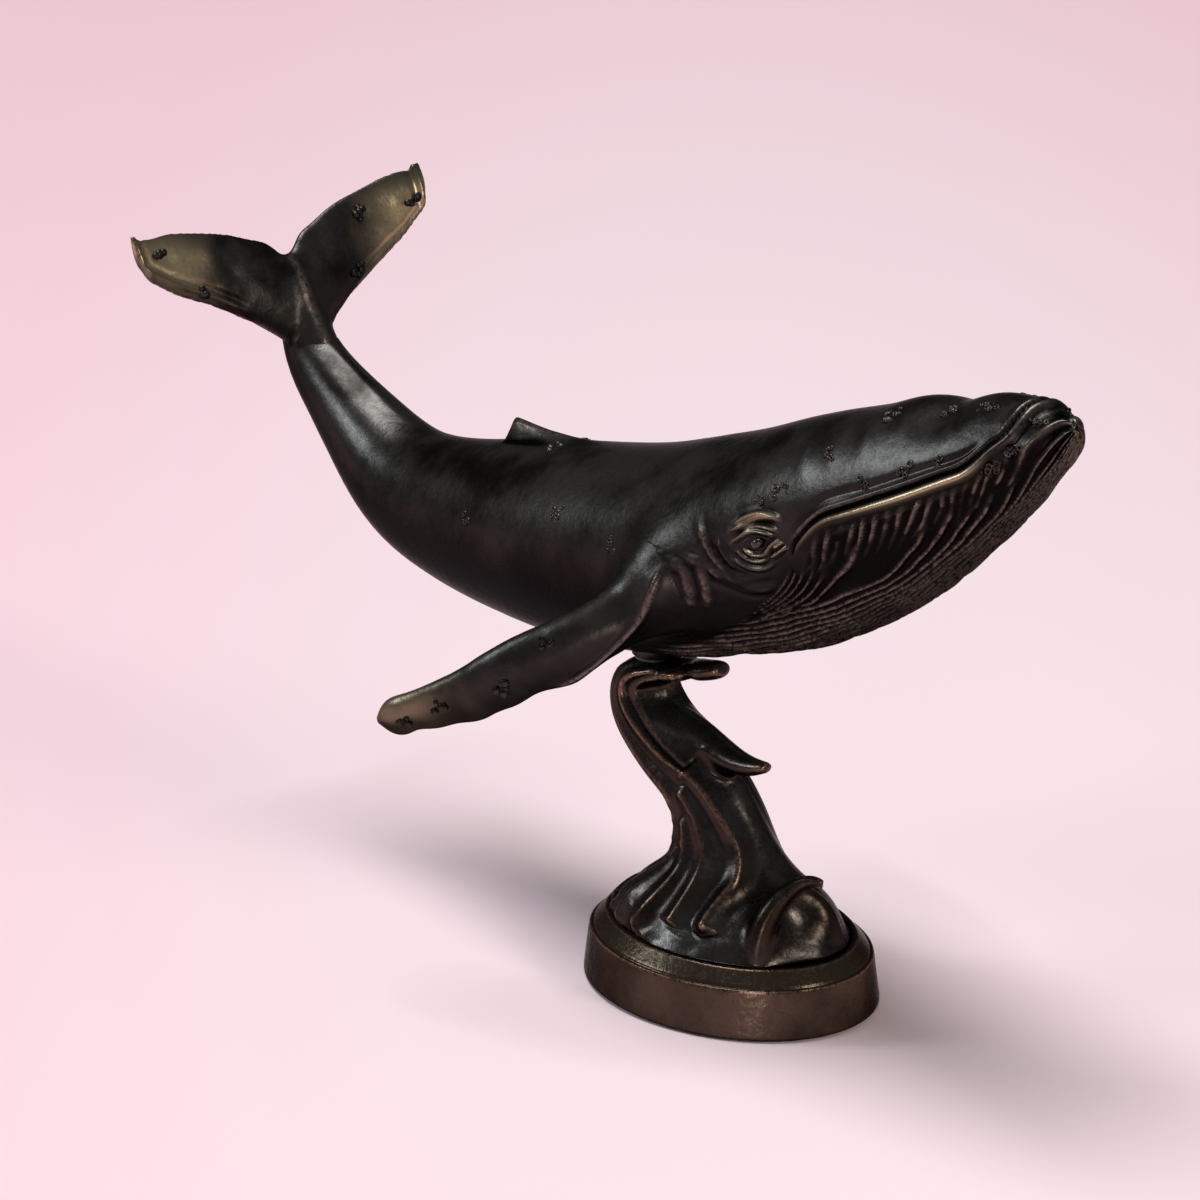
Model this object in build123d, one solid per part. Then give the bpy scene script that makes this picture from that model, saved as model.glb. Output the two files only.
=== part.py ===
from build123d import *
import os
from math import cos, exp, radians, sin

os.makedirs("parts", exist_ok=True)

# A humpback whale in patinated bronze, carried on the crest of a wave that stands on an oval
# plinth. Millimetres, +Z up, +X towards the whale's head, +Y towards its left side. The origin
# is the middle of the felt that the figurine stands on, under the middle of the plinth.

# Plinth: an oval casting with a leaning side, a bevelled rim and a hollow underside
PLINTH_LENGTH = 84.0
PLINTH_WIDTH = 65.2
PLINTH_HEIGHT = 16.6
PLINTH_LEAN = 1.6
BEVEL_WIDTH = 4.2
BEVEL_HEIGHT = 3.8
PLINTH_WALL = 6.0
PLINTH_ROOF = 5.0

# Ballast plate let into the underside, with felt glued over it
FOOT_RIM = 2.6
PLATE_THICKNESS = 2.5
PLATE_CLEARANCE = 0.2
FELT_THICKNESS = 1.6
FELT_PROUD = 0.6
PLATE_SCREW_INSET = 11.6
PLATE_SCREW_DIAMETER = 3.0
PLATE_SCREW_HEAD = 5.6
PLATE_SCREW_LENGTH = 8.0
POST_DIAMETER = 9.0

# Wave pedestal: a foot that fills the plinth's top, a leaning column, a crest and two curls
WAVE_HEIGHT = 61.8
CREST_REACH = 29.0
COLUMN_DEPTH = 20.0
COLUMN_WIDTH = 20.0
FOOT_MARGIN = 1.2
SWELL_ANGLE = -128.0
SWELL_SPREAD_ANGLE = 32.0
SWELL_SHARE = 0.27
RIDGE_HEIGHT = 3.0
RIDGE_WIDTH = 3.4
FLUTE_DEPTH = 1.2
CORE_DIAMETER = 18.0
CORE_HEIGHT = 20.0
CURL_ROOT = 28.0
CURL_REACH = 41.0
BREAKER_HEIGHT = 22.0
BREAKER_HEADING = -40.0
BREAKER_X = 24.5
BREAKER_Y = 1.5

# Screws that hold the wave on the plinth from below
WAVE_SCREW_SPACING = 34.0
WAVE_SCREW_DIAMETER = 4.0
WAVE_SCREW_HEAD = 7.5
WAVE_SCREW_HEAD_HEIGHT = 2.4
WAVE_SCREW_GRIP = 9.0
SCREW_WASHER_DIAMETER = 9.0
SCREW_WASHER_THICKNESS = 0.8
SCREW_CLEARANCE = 0.25
THREAD_CLEARANCE = 0.06
THREAD_RUN_OUT = 0.5

# Swivel: a steel pin pressed in the crest, a bush in the belly and a washer between
PIN_DIAMETER = 5.0
PIN_IN_CREST = 15.0
PIN_IN_BUSH = 11.0
PIN_FIT = 0.03
RUNNING_CLEARANCE = 0.05
BUSH_WALL = 1.5
BUSH_LENGTH = 12.0
BUSH_FIT = 0.03
WASHER_DIAMETER = 10.5
WASHER_THICKNESS = 0.8
SPOT_FACE_MARGIN = 0.6
BOSS_WALL = 2.0
BOSS_STAND = 1.5

# Whale body: a hollow casting with its dorsal fin
BODY_LENGTH = 291.4
BODY_DEPTH = 54.0
BODY_WIDTH = 54.0
BODY_WALL = 4.0
DORSAL_LENGTH = 34.0
DORSAL_HEIGHT = 5.8
DORSAL_THICKNESS = 6.4
MOUTH_DEPTH = 1.1
MOUTH_WIDTH = 1.1
LIP_HEIGHT = 0.9
LIP_WIDTH = 1.3
LIP_DROP = 2.2
PLEAT_HEIGHT = 1.0
PLEAT_WIDTH = 1.2
EYE_DIAMETER = 4.2
EYE_INSET = 1.0
EYE_CLEARANCE = 0.08

# Flippers and tail flukes: solid castings set on steel dowels
FLIPPER_LENGTH = 88.3
FLIPPER_CHORD = 15.5
FLIPPER_THICKNESS = 12.0
FLUKE_SPAN = 95.0
FLUKE_CHORD = 40.0
FLUKE_THICKNESS = 7.0
FLUKE_LEAN = 24.0
FLUKE_ROLL = 2.5
DOWEL_DIAMETER = 4.0
DOWEL_LENGTH = 22.0
DOWEL_CLEARANCE = 0.08
DOWEL_END_GAP = 0.5
DOWEL_BOSS_WALL = 3.5
CASTING_SEAM = 0.15

# Body sections from the tail stock to the snout. Place along the body and rise of the middle
# line are shares of the length, counted from the swivel pin. Back and belly are shares of half
# the depth, and flank is a share of half the width.
BODY_SECTIONS = [
    (-0.504, 0.129, 0.126, 0.126, 0.222),
    (-0.494, 0.098, 0.196, 0.200, 0.244),
    (-0.479, 0.064, 0.274, 0.281, 0.274),
    (-0.443, 0.032, 0.363, 0.370, 0.333),
    (-0.391, -0.001, 0.478, 0.485, 0.437),
    (-0.340, -0.026, 0.578, 0.585, 0.533),
    (-0.261, -0.035, 0.711, 0.726, 0.681),
    (-0.172, -0.028, 0.837, 0.859, 0.822),
    (-0.062, -0.014, 0.933, 0.956, 0.941),
    (0.058, 0.013, 0.978, 0.993, 0.985),
    (0.113, 0.031, 0.985, 1.000, 0.996),
    (0.165, 0.049, 0.985, 1.007, 0.993),
    (0.225, 0.077, 0.952, 0.993, 0.948),
    (0.309, 0.120, 0.837, 0.881, 0.822),
    (0.367, 0.151, 0.700, 0.704, 0.689),
    (0.417, 0.179, 0.548, 0.533, 0.556),
    (0.460, 0.203, 0.393, 0.356, 0.407),
    (0.484, 0.215, 0.252, 0.215, 0.267),
    (0.496, 0.221, 0.119, 0.096, 0.126),
]
TAIL_JOINT_INDEX = 2
CAVITY_FIRST_INDEX = 4
DORSAL_INDEX = 7
FLIPPER_INDEX = 10
EYE_INDEX = 12
CAVITY_LAST_INDEX = 15

# Mouth as places along the spine, in shares of it from the tail, and angles round the body: 0 at
# the flank, 90 at the back, -90 at the belly.
MOUTH_LINE = [
    (0.752, -15.0),
    (0.761, -8.2),
    (0.772, -3.7),
    (0.783, -0.5),
    (0.796, 2.0),
    (0.812, 2.2),
    (0.843, 1.5),
    (0.887, 0.0),
    (0.913, -1.0),
    (0.931, -0.5),
    (0.955, 13.5),
]
# A throat pleat leaves the lip at a place and bends down to an angle of its own along the belly:
# the place where it starts, the angle, and the place where it ends.
PLEAT_LINES = [
    (0.799, -39.0, 0.705),
    (0.850, -43.5, 0.655),
    (0.900, -48.5, 0.620),
    (0.937, -56.0, 0.600),
    (0.965, -64.0, 0.580),
    (0.985, -74.0, 0.570),
]
PLEAT_BEND = 0.032

# Dorsal fin from its foot inside the back to its tip: height over the back as a share of its own,
# shift towards the head and length as shares of its length, thickness as a share of its own.
DORSAL_SECTIONS = [
    (-0.80, 0.18, 1.00, 1.00),
    (0.25, 0.07, 0.62, 0.60),
    (1.00, -0.03, 0.08, 0.20),
]

# Flipper middle line from inside the shoulder to the tip: back, out and down as shares of the
# length, then chord and thickness as shares of their largest values.
FLIPPER_SECTIONS = [
    (0.000, 0.000, 0.000, 1.25, 1.00),
    (0.055, 0.068, 0.054, 1.06, 0.92),
    (0.118, 0.159, 0.117, 0.92, 0.80),
    (0.194, 0.238, 0.183, 0.95, 0.68),
    (0.284, 0.306, 0.248, 0.98, 0.58),
    (0.451, 0.385, 0.364, 0.86, 0.49),
    (0.649, 0.442, 0.459, 0.64, 0.39),
    (0.732, 0.459, 0.496, 0.38, 0.27),
    (0.753, 0.464, 0.505, 0.15, 0.10),
]
FLIPPER_ROOT_SHARE = 0.82
FLIPPER_ROOT_DROP = 5.2
FLIPPER_ROOT_DEPTH = 6.0
FLIPPER_CHORD_LINE = Vector(0.475, 0.098, -0.873)

# Half of the flukes from the notch to the tip: place along the half span, leading and trailing
# edges as shares of the chord, thickness as a share of the largest.
FLUKE_SECTIONS = [
    (0.000, -0.600, 0.000, 1.00),
    (0.105, -0.590, 0.100, 1.00),
    (0.190, -0.512, 0.155, 0.95),
    (0.295, -0.410, 0.210, 0.85),
    (0.442, -0.300, 0.265, 0.70),
    (0.632, -0.170, 0.315, 0.52),
    (0.800, -0.065, 0.340, 0.40),
    (0.905, 0.040, 0.355, 0.32),
    (0.968, 0.175, 0.390, 0.25),
    (1.000, 0.320, 0.415, 0.15),
]
FLUKE_OVER_TAIL = 5.0
FLUKE_BEHIND_TAIL = 1.5
FLUKE_ASIDE = 1.5

# Column and crest from the foot up: lean towards the tail as a share of the crest's reach,
# height as a share of the wave's, half depth and half width as shares of the column's.
COLUMN_SECTIONS = [
    (0.00, 0.053, 3.05, 2.28),
    (0.03, 0.142, 2.36, 1.88),
    (0.06, 0.256, 1.62, 1.46),
    (0.12, 0.369, 1.23, 1.22),
    (0.25, 0.482, 1.06, 1.09),
    (0.46, 0.557, 1.02, 1.04),
    (0.70, 0.615, 0.98, 1.02),
    (0.96, 0.706, 0.91, 1.00),
    (1.12, 0.809, 0.79, 0.95),
    (1.12, 0.896, 0.63, 0.90),
    (0.97, 0.952, 0.42, 0.84),
    (0.69, 0.985, 0.31, 0.72),
    (0.42, 1.014, 0.27, 0.56),
    (0.22, 1.040, 0.25, 0.40),
    (0.13, 1.056, 0.17, 0.26),
]
SWELL_SECTION = 1.0
SWELL_RUN = 1.1

# Main ridges between the flutes of the column: the section, counted from the foot, and the angle
# round the column from the head side. Negative angles are on the whale's right side.
RIDGE_LINES = [
    [(11.3, -122), (10.1, -94), (9, -84), (7.7, -74), (6.5, -66), (5.2, -60), (4.3, -48), (3.7, -41),
     (3.1, -33), (2.6, -29), (2.1, -33), (1.5, -48), (0.7, -62), (-0.4, -69)],
    [(11.0, -76), (10.3, -60), (9, -50), (7.9, -46), (6.9, -47), (5.9, -48), (4.6, -46)],
    [(4.2, -94), (2.7, -96), (1.7, -100), (0.7, -106), (-0.4, -112)],
    [(10.6, -156), (9.6, -147), (8.2, -116), (6.5, -100), (5.1, -98), (4.2, -108), (3.3, -126), (2, -146),
     (0.8, -153), (-0.4, -158)],
    [(11.2, 118), (10.2, 104), (9, 92), (7.6, 80), (6.2, 72), (4.8, 78), (3.4, 92), (1.8, 108),
     (-0.4, 118)],
    [(9.6, 55), (8, 48), (6.4, 50), (4.8, 56), (3.4, 66), (2, 80), (0.6, 90), (-0.4, 94)],
    [(9.8, 152), (8.6, 142), (6.8, 136), (5, 146), (3.4, 160), (1.6, 168), (-0.4, 172)],
]

# Second curl, an upright blade out of the neck's front: forward reach as a share of its own, height
# as a share of the wave's, half depth and half width as shares of the column's.
CURL_SECTIONS = [
    (0.00, 0.840, 0.60, 0.75),
    (0.22, 0.775, 0.62, 0.62),
    (0.45, 0.715, 0.52, 0.48),
    (0.68, 0.685, 0.38, 0.36),
    (0.86, 0.690, 0.24, 0.26),
    (1.00, 0.715, 0.13, 0.17),
]

# Small breaker at the front of the foot: a bowl and the roll of its lip. Aside, forward and up from
# its foot, and half sizes or radius, all as shares of its height.
BOWL_MIDDLE = (-0.07, -0.05, -0.14)
BOWL_HALF_SIZES = (0.545, 0.365, 0.865)
BREAKER_LIP = [
    (-0.52, 0.40, -0.20, 0.182),
    (-0.50, 0.38, 0.07, 0.173),
    (-0.44, 0.355, 0.41, 0.145),
    (-0.28, 0.32, 0.66, 0.127),
    (-0.09, 0.30, 0.845, 0.105),
    (0.07, 0.31, 0.92, 0.082),
    (0.22, 0.345, 0.90, 0.055),
]

# Heights that follow from the stack: felt, plate, plinth, wave, washer, whale
RIM_Z = FELT_PROUD
PLATE_Z = FELT_THICKNESS
CAVITY_Z = PLATE_Z + PLATE_THICKNESS
PLINTH_TOP = RIM_Z + PLINTH_HEIGHT
ROOF_Z = PLINTH_TOP - PLINTH_ROOF
CREST_Z = PLINTH_TOP + WAVE_HEIGHT
SEAT_Z = CREST_Z + WASHER_THICKNESS
PIN_X = -CREST_REACH
SPINE_Z = SEAT_Z + BOSS_STAND + BODY_DEPTH / 2

# Diameters that follow from the swivel pin outwards
bush_bore = PIN_DIAMETER + 2 * RUNNING_CLEARANCE
bush_outside = bush_bore + 2 * BUSH_WALL
boss_outside = bush_outside + 2 * BOSS_WALL

# Angles round the right half of a body section from the back to the belly, closer at the mouth and
# throat, and points round the other sections
HALF_RING_ANGLES = [90.0, 70.0, 50.0, 32.0, 20.0]
HALF_RING_ANGLES += [12.0 - 2.0 * step for step in range(14)]
HALF_RING_ANGLES += [-16.4 - 2.3 * step for step in range(33)]
SECTION_POINT_COUNT = 16
COLUMN_POINT_COUNT = 60

# Extra body sections in the head, from a share of the spine to another
HEAD_START = 0.560
HEAD_END = 0.950
HEAD_STEP = 0.0125


def oval(length, width, z):
    """A flat oval at a height, centred on the plinth."""
    return Plane.XY.offset(z) * Ellipse(length / 2, width / 2)


def closed_section(plane, half_width, up, down):
    """A rounded section on a plane, with its own height above and below the middle line."""
    points = []
    for step in range(SECTION_POINT_COUNT):
        angle = radians(90.0 + 360.0 * step / SECTION_POINT_COUNT)
        rise = up if sin(angle) > 0 else down
        points.append((half_width * cos(angle), rise * sin(angle)))
    return plane * make_face(Spline(*points, periodic=True))


def tangents(points):
    """Unit direction of a run of points at each of them."""
    last = len(points) - 1
    return [(points[min(i + 1, last)] - points[max(i - 1, 0)]).normalized() for i in range(last + 1)]


def between(knots, rows, at):
    """Rows of numbers read between their knots, on a smooth cubic through them."""
    last = len(knots) - 1
    i = 0
    while i < last - 1 and knots[i + 1] <= at:
        i += 1

    def slope(k, column):
        low, high = max(k - 1, 0), min(k + 1, last)
        return (rows[high][column] - rows[low][column]) / (knots[high] - knots[low])

    span = knots[i + 1] - knots[i]
    t = (at - knots[i]) / span
    values = []
    for column in range(len(rows[0])):
        start, end = rows[i][column], rows[i + 1][column]
        bend = t * (1 - t) ** 2 * slope(i, column) - t**2 * (1 - t) * slope(i + 1, column)
        values.append(start + (end - start) * (3 * t**2 - 2 * t**3) + span * bend)
    return values


def ring_face(points, shares):
    """Flat face inside a smooth closed line through points, each at its share of the way round."""
    return make_face(Edge.make_spline(points, periodic=True, parameters=shares + [1.0]))


def bell(distance, width):
    """One at no distance, falling smoothly to nothing past a width."""
    return exp(-((distance / width) ** 2))


def ramp(value, low, high):
    """Nothing below low and one above high, straight between."""
    return min(max((value - low) / (high - low), 0.0), 1.0)


def cylinder_along(start, direction, diameter, length):
    """A round bar from a start point along a direction."""
    face = Plane(start, z_dir=direction) * Circle(diameter / 2)
    return extrude(face, length, dir=Vector(*direction))


def spine_points():
    """Middle of each body section, in the part's own frame."""
    return [
        Vector(PIN_X + along * BODY_LENGTH, 0, SPINE_Z + rise * BODY_LENGTH)
        for along, rise, back, belly, flank in BODY_SECTIONS
    ]


def body_planes():
    """Plane of each body section: local x to the whale's left, local y up out of its back."""
    points = spine_points()
    return [
        Plane(point, x_dir=(0, 1, 0), z_dir=direction)
        for point, direction in zip(points, tangents(points))
    ]


def body_loft(first, last, grow, relief=0.0):
    """The body from one section to another, with its surface moved out by a margin.

    Relief is the share of the mouth, lip and throat pleats that the surface shows.
    """
    knots = spine_knots()
    places = knots[first : last + 1]
    for step in range(round((HEAD_END - HEAD_START) / HEAD_STEP) + 1):
        place = HEAD_START + step * HEAD_STEP
        near = min(abs(place - knot) for knot in knots)
        if knots[first] < place < knots[last] and near > HEAD_STEP / 3:
            places.append(place)
    shares = [(90.0 - angle) / 360.0 for angle in HALF_RING_ANGLES]
    shares += [1.0 - share for share in reversed(shares[1:-1])]
    return loft([ring_face(skin_ring(place, grow, relief), shares) for place in sorted(places)])


def on_body(index, side, lift):
    """A point on a section's plane: side to the left and lift above its middle, in mm."""
    return body_planes()[index].from_local_coords(Vector(side, lift, 0))


def spine_knots():
    """Place of each body section along the spine, as a share of the spine's length."""
    points = spine_points()
    reach = [0.0]
    for i in range(1, len(points)):
        reach.append(reach[-1] + (points[i] - points[i - 1]).length)
    return [place / reach[-1] for place in reach]


def body_middle(place):
    """Middle of the body at a share of the spine, with its half sizes up, down and to the side."""
    rows = [
        (point.X, point.Z, back * BODY_DEPTH / 2, belly * BODY_DEPTH / 2, flank * BODY_WIDTH / 2)
        for point, (along, rise, back, belly, flank) in zip(spine_points(), BODY_SECTIONS)
    ]
    return between(spine_knots(), rows, place)


def head_relief(place, angle, radius):
    """Height of the mouth's groove, the rolled lip and the pleats at a place on the skin."""
    arc = radians(1.0) * radius
    lip_knots = [row[0] for row in MOUTH_LINE]
    lip_rows = [row[1:] for row in MOUTH_LINE]

    def lip_angle(at):
        return between(lip_knots, lip_rows, min(max(at, lip_knots[0]), lip_knots[-1]))[0]

    along_mouth = ramp(place, 0.748, 0.758) * ramp(place, 0.930, 0.890)
    under_mouth = (lip_angle(place) - angle) * arc
    roll = LIP_HEIGHT * bell(under_mouth - LIP_DROP, LIP_WIDTH)
    height = along_mouth * (roll - MOUTH_DEPTH * bell(under_mouth, MOUTH_WIDTH))
    for start, rest, end in PLEAT_LINES:
        run = start - place
        if run > 0:
            line = rest + (lip_angle(start) - rest) * exp(-run / PLEAT_BEND)
            shown = ramp(run, 0.004, 0.022) * ramp(place, end, end + 0.030) * ramp(place, 0.930, 0.870)
            height += shown * PLEAT_HEIGHT * bell((angle - line) * arc, PLEAT_WIDTH)
    return height


def skin_ring(place, grow, relief):
    """Points round the body at a share of the spine, from the back down the right side."""
    x, z, back, belly, flank = body_middle(place)
    ahead = body_middle(place + 0.001)
    behind = body_middle(place - 0.001)
    along = Vector(ahead[0] - behind[0], 0, ahead[1] - behind[1]).normalized()
    right, left = [], []
    for angle in HALF_RING_ANGLES:
        lift = grow
        if relief:
            lift += relief * head_relief(place, angle, (belly + flank) / 2)
        rise = ((back if angle > 0 else belly) + lift) * sin(radians(angle))
        side = (flank + lift) * cos(radians(angle))
        right.append(Vector(x - along.Z * rise, -side, z + along.X * rise))
        left.append(Vector(x - along.Z * rise, side, z + along.X * rise))
    return right + left[-2:0:-1]


def wave_horn(base, heading, rows):
    """A curl of the wave: rounded sections along a path in one upright plane.

    Each row gives forward reach, height, half depth and half width in mm.
    """
    forward = Vector(cos(radians(heading)), sin(radians(heading)), 0)
    across = Vector(-forward.Y, forward.X, 0)
    points = [base + forward * reach + Vector(0, 0, height) for reach, height, depth, width in rows]
    faces = []
    for point, direction, row in zip(points, tangents(points), rows):
        plane = Plane(point, x_dir=across, z_dir=direction)
        faces.append(closed_section(plane, row[3], row[2], row[2]))
    return loft(faces)


# Plinth
bevel_z = PLINTH_TOP - BEVEL_HEIGHT
shoulder_length = PLINTH_LENGTH - 2 * PLINTH_LEAN
shoulder_width = PLINTH_WIDTH - 2 * PLINTH_LEAN
top_length = shoulder_length - 2 * BEVEL_WIDTH
top_width = shoulder_width - 2 * BEVEL_WIDTH
plate_length = PLINTH_LENGTH - 2 * FOOT_RIM
plate_width = PLINTH_WIDTH - 2 * FOOT_RIM
plinth_foot = oval(PLINTH_LENGTH, PLINTH_WIDTH, RIM_Z)
plinth_shoulder = oval(shoulder_length, shoulder_width, bevel_z)
plinth_top = oval(top_length, top_width, PLINTH_TOP)
plinth = loft([plinth_foot, plinth_shoulder], ruled=True)
plinth += loft([plinth_shoulder, plinth_top], ruled=True)
rabbet = extrude(oval(plate_length, plate_width, RIM_Z), CAVITY_Z - RIM_Z)
hollow = oval(PLINTH_LENGTH - 2 * PLINTH_WALL, PLINTH_WIDTH - 2 * PLINTH_WALL, CAVITY_Z)
hollow = extrude(hollow, ROOF_Z - CAVITY_Z)
plate_screw_y = PLINTH_WIDTH / 2 - PLATE_SCREW_INSET
plate_screw_places = [Location((0, side * plate_screw_y, 0)) for side in (-1, 1)]
wave_screw_places = [Location((side * WAVE_SCREW_SPACING / 2, 0, 0)) for side in (-1, 1)]
for place in plate_screw_places:
    hollow -= place * Pos(0, 0, CAVITY_Z) * extrude(Circle(POST_DIAMETER / 2), ROOF_Z - CAVITY_Z)
plinth -= rabbet
plinth -= hollow
plate_screw_bore = PLATE_SCREW_DIAMETER / 2 + THREAD_CLEARANCE
plate_screw_depth = PLATE_SCREW_LENGTH - PLATE_THICKNESS + THREAD_RUN_OUT
for place in plate_screw_places:
    plinth -= place * Pos(0, 0, CAVITY_Z) * extrude(Circle(plate_screw_bore), plate_screw_depth)
for place in wave_screw_places:
    screw_hole = extrude(Circle(WAVE_SCREW_DIAMETER / 2 + SCREW_CLEARANCE), PLINTH_ROOF)
    plinth -= place * Pos(0, 0, ROOF_Z) * screw_hole

# Ballast plate with countersunk holes, its screws, and the felt under them
plate_oval = oval(plate_length - 2 * PLATE_CLEARANCE, plate_width - 2 * PLATE_CLEARANCE, PLATE_Z)
bottom_plate = extrude(plate_oval, PLATE_THICKNESS)
head_depth = (PLATE_SCREW_HEAD - PLATE_SCREW_DIAMETER) / 2


def countersunk_bar(grow, length):
    """A countersunk screw's outline, head down, with its surface moved out by a margin."""
    radius = PLATE_SCREW_DIAMETER / 2 + grow
    outline = Polyline(
        (0, 0),
        (radius + head_depth, 0),
        (radius, head_depth),
        (radius, length),
        (0, length),
        close=True,
    )
    return revolve(Plane.XZ * make_face(outline), Axis.Z)


for place in plate_screw_places:
    bottom_plate -= place * Pos(0, 0, PLATE_Z) * countersunk_bar(THREAD_CLEARANCE, PLATE_SCREW_LENGTH)
plate_screws = [
    place * Pos(0, 0, PLATE_Z) * countersunk_bar(0.0, PLATE_SCREW_LENGTH) for place in plate_screw_places
]
felt_oval = oval(plate_length - 2 * PLATE_CLEARANCE, plate_width - 2 * PLATE_CLEARANCE, 0)
felt_pad = extrude(felt_oval, FELT_THICKNESS)

# Wave pedestal: the foot and column are one loft, and the curls grow out of it
pin_foot = Vector(PIN_X, 0, CREST_Z - PIN_IN_CREST)
column_points = [
    Vector(-lean * CREST_REACH, 0, PLINTH_TOP + height * WAVE_HEIGHT)
    for lean, height, depth, width in COLUMN_SECTIONS
]
foot_centre = Vector(0, 0, PLINTH_TOP)
foot_half_length = top_length / 2 - FOOT_MARGIN
foot_half_width = top_width / 2 - FOOT_MARGIN
column_rows = [
    (0.0, PLINTH_TOP - FOOT_MARGIN, foot_half_length, foot_half_width),
    (0.0, PLINTH_TOP, foot_half_length, foot_half_width),
]
for point, (lean, height, depth, width) in zip(column_points, COLUMN_SECTIONS):
    column_rows.append((point.X, point.Z, depth * COLUMN_DEPTH / 2, width * COLUMN_WIDTH / 2))
column_knots = [i - 2.0 for i in range(len(column_rows))]


def column_middle(section):
    """Middle of the column at a section, counted from the plinth's top at -1."""
    x, z, depth, width = between(column_knots, column_rows, section)
    return Vector(x, 0, z)


def turned(angle, other):
    """Angle from one direction to another, between -180 and 180 degrees."""
    return (angle - other + 180.0) % 360.0 - 180.0


def column_point(section, angle):
    """Point on the column's skin at a section and an angle in degrees from the head side.

    The ridges stand over the flutes between them, and the swell pushes the skirt out where the wave
    rises on the whale's right.
    """
    x, z, depth, width = between(column_knots, column_rows, section)
    along = (column_middle(section + 0.02) - column_middle(section - 0.02)).normalized()
    arc = radians(1.0) * (depth + width) / 2
    lift = 0.0
    for line in RIDGE_LINES:
        stops = [stop for stop, turn in reversed(line)]
        turns = [(turn,) for stop, turn in reversed(line)]
        if stops[0] - 1 < section < stops[-1]:
            crest = between(stops, turns, max(section, stops[0]))[0]
            shown = ramp(section, stops[-1], stops[-1] - 1.0)
            lift += shown * RIDGE_HEIGHT * bell(turned(angle, crest) * arc, RIDGE_WIDTH)
    lift = min(lift, RIDGE_HEIGHT) - FLUTE_DEPTH
    lift *= ramp(section, -1.0, 0.5) * ramp(section, 10.0, 8.0)
    swell = bell(turned(angle, SWELL_ANGLE), SWELL_SPREAD_ANGLE) * bell(section - SWELL_SECTION, SWELL_RUN)
    front = ((1 + SWELL_SHARE * swell) * depth + lift) * cos(radians(angle))
    side = ((1 + SWELL_SHARE * swell) * width + lift) * sin(radians(angle))
    return Vector(x + along.Z * front, side, z - along.X * front)


ring_shares = [step / COLUMN_POINT_COUNT for step in range(COLUMN_POINT_COUNT)]
column_faces = []
for half_step in range(2 * len(column_rows) - 1):
    ring = [column_point(-2.0 + half_step / 2, 360.0 * share) for share in ring_shares]
    column_faces.append(ring_face(ring, ring_shares))
wave_pedestal = loft(column_faces)
curl_rows = [
    (reach * CURL_REACH, height * WAVE_HEIGHT, depth * COLUMN_DEPTH / 2, width * COLUMN_WIDTH / 2)
    for reach, height, depth, width in CURL_SECTIONS
]
curl_base = Vector(-CURL_ROOT, 0, PLINTH_TOP)
wave_pedestal += wave_horn(curl_base, 0.0, curl_rows)

# Breaker: the bowl and its rolled lip, turned to its heading
breaker_forward = Vector(cos(radians(BREAKER_HEADING)), sin(radians(BREAKER_HEADING)), 0)
breaker_aside = Vector(-breaker_forward.Y, breaker_forward.X, 0)
breaker_plane = Plane((BREAKER_X, BREAKER_Y, PLINTH_TOP), x_dir=breaker_aside, z_dir=(0, 0, 1))
bowl_sizes = [BREAKER_HEIGHT * share for share in BOWL_HALF_SIZES]
bowl_place = [BREAKER_HEIGHT * share for share in BOWL_MIDDLE]
bowl = scale(Sphere(1.0), by=tuple(bowl_sizes))
wave_pedestal += breaker_plane * Pos(bowl_place[0], -bowl_place[1], bowl_place[2]) * bowl
lip_points = [
    breaker_plane.from_local_coords(Vector(aside, -forward, up) * BREAKER_HEIGHT)
    for aside, forward, up, radius in BREAKER_LIP
]
lip_faces = []
for point, direction, row in zip(lip_points, tangents(lip_points), BREAKER_LIP):
    lip_faces.append(Plane(point, x_dir=breaker_forward, z_dir=direction) * Circle(row[3] * BREAKER_HEIGHT))
wave_pedestal += loft(lip_faces)

above_plinth = Pos(0, 0, PLINTH_TOP + WAVE_HEIGHT) * Box(
    2 * PLINTH_LENGTH, 2 * PLINTH_WIDTH, 2 * WAVE_HEIGHT
)
wave_pedestal = wave_pedestal & above_plinth
spot_face = extrude(Circle(boss_outside / 2 + SPOT_FACE_MARGIN), WAVE_HEIGHT)
wave_pedestal -= Pos(PIN_X, 0, CREST_Z) * spot_face
pin_hole = cylinder_along(pin_foot, (0, 0, 1), PIN_DIAMETER + 2 * PIN_FIT, PIN_IN_CREST)
wave_pedestal -= pin_hole
wave_pedestal -= Pos(0, 0, PLINTH_TOP) * extrude(Circle(CORE_DIAMETER / 2), CORE_HEIGHT)
thread_radius = WAVE_SCREW_DIAMETER / 2 + THREAD_CLEARANCE
for place in wave_screw_places:
    thread_hole = extrude(Circle(thread_radius), WAVE_SCREW_GRIP + THREAD_RUN_OUT)
    wave_pedestal -= place * Pos(0, 0, PLINTH_TOP) * thread_hole

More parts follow.
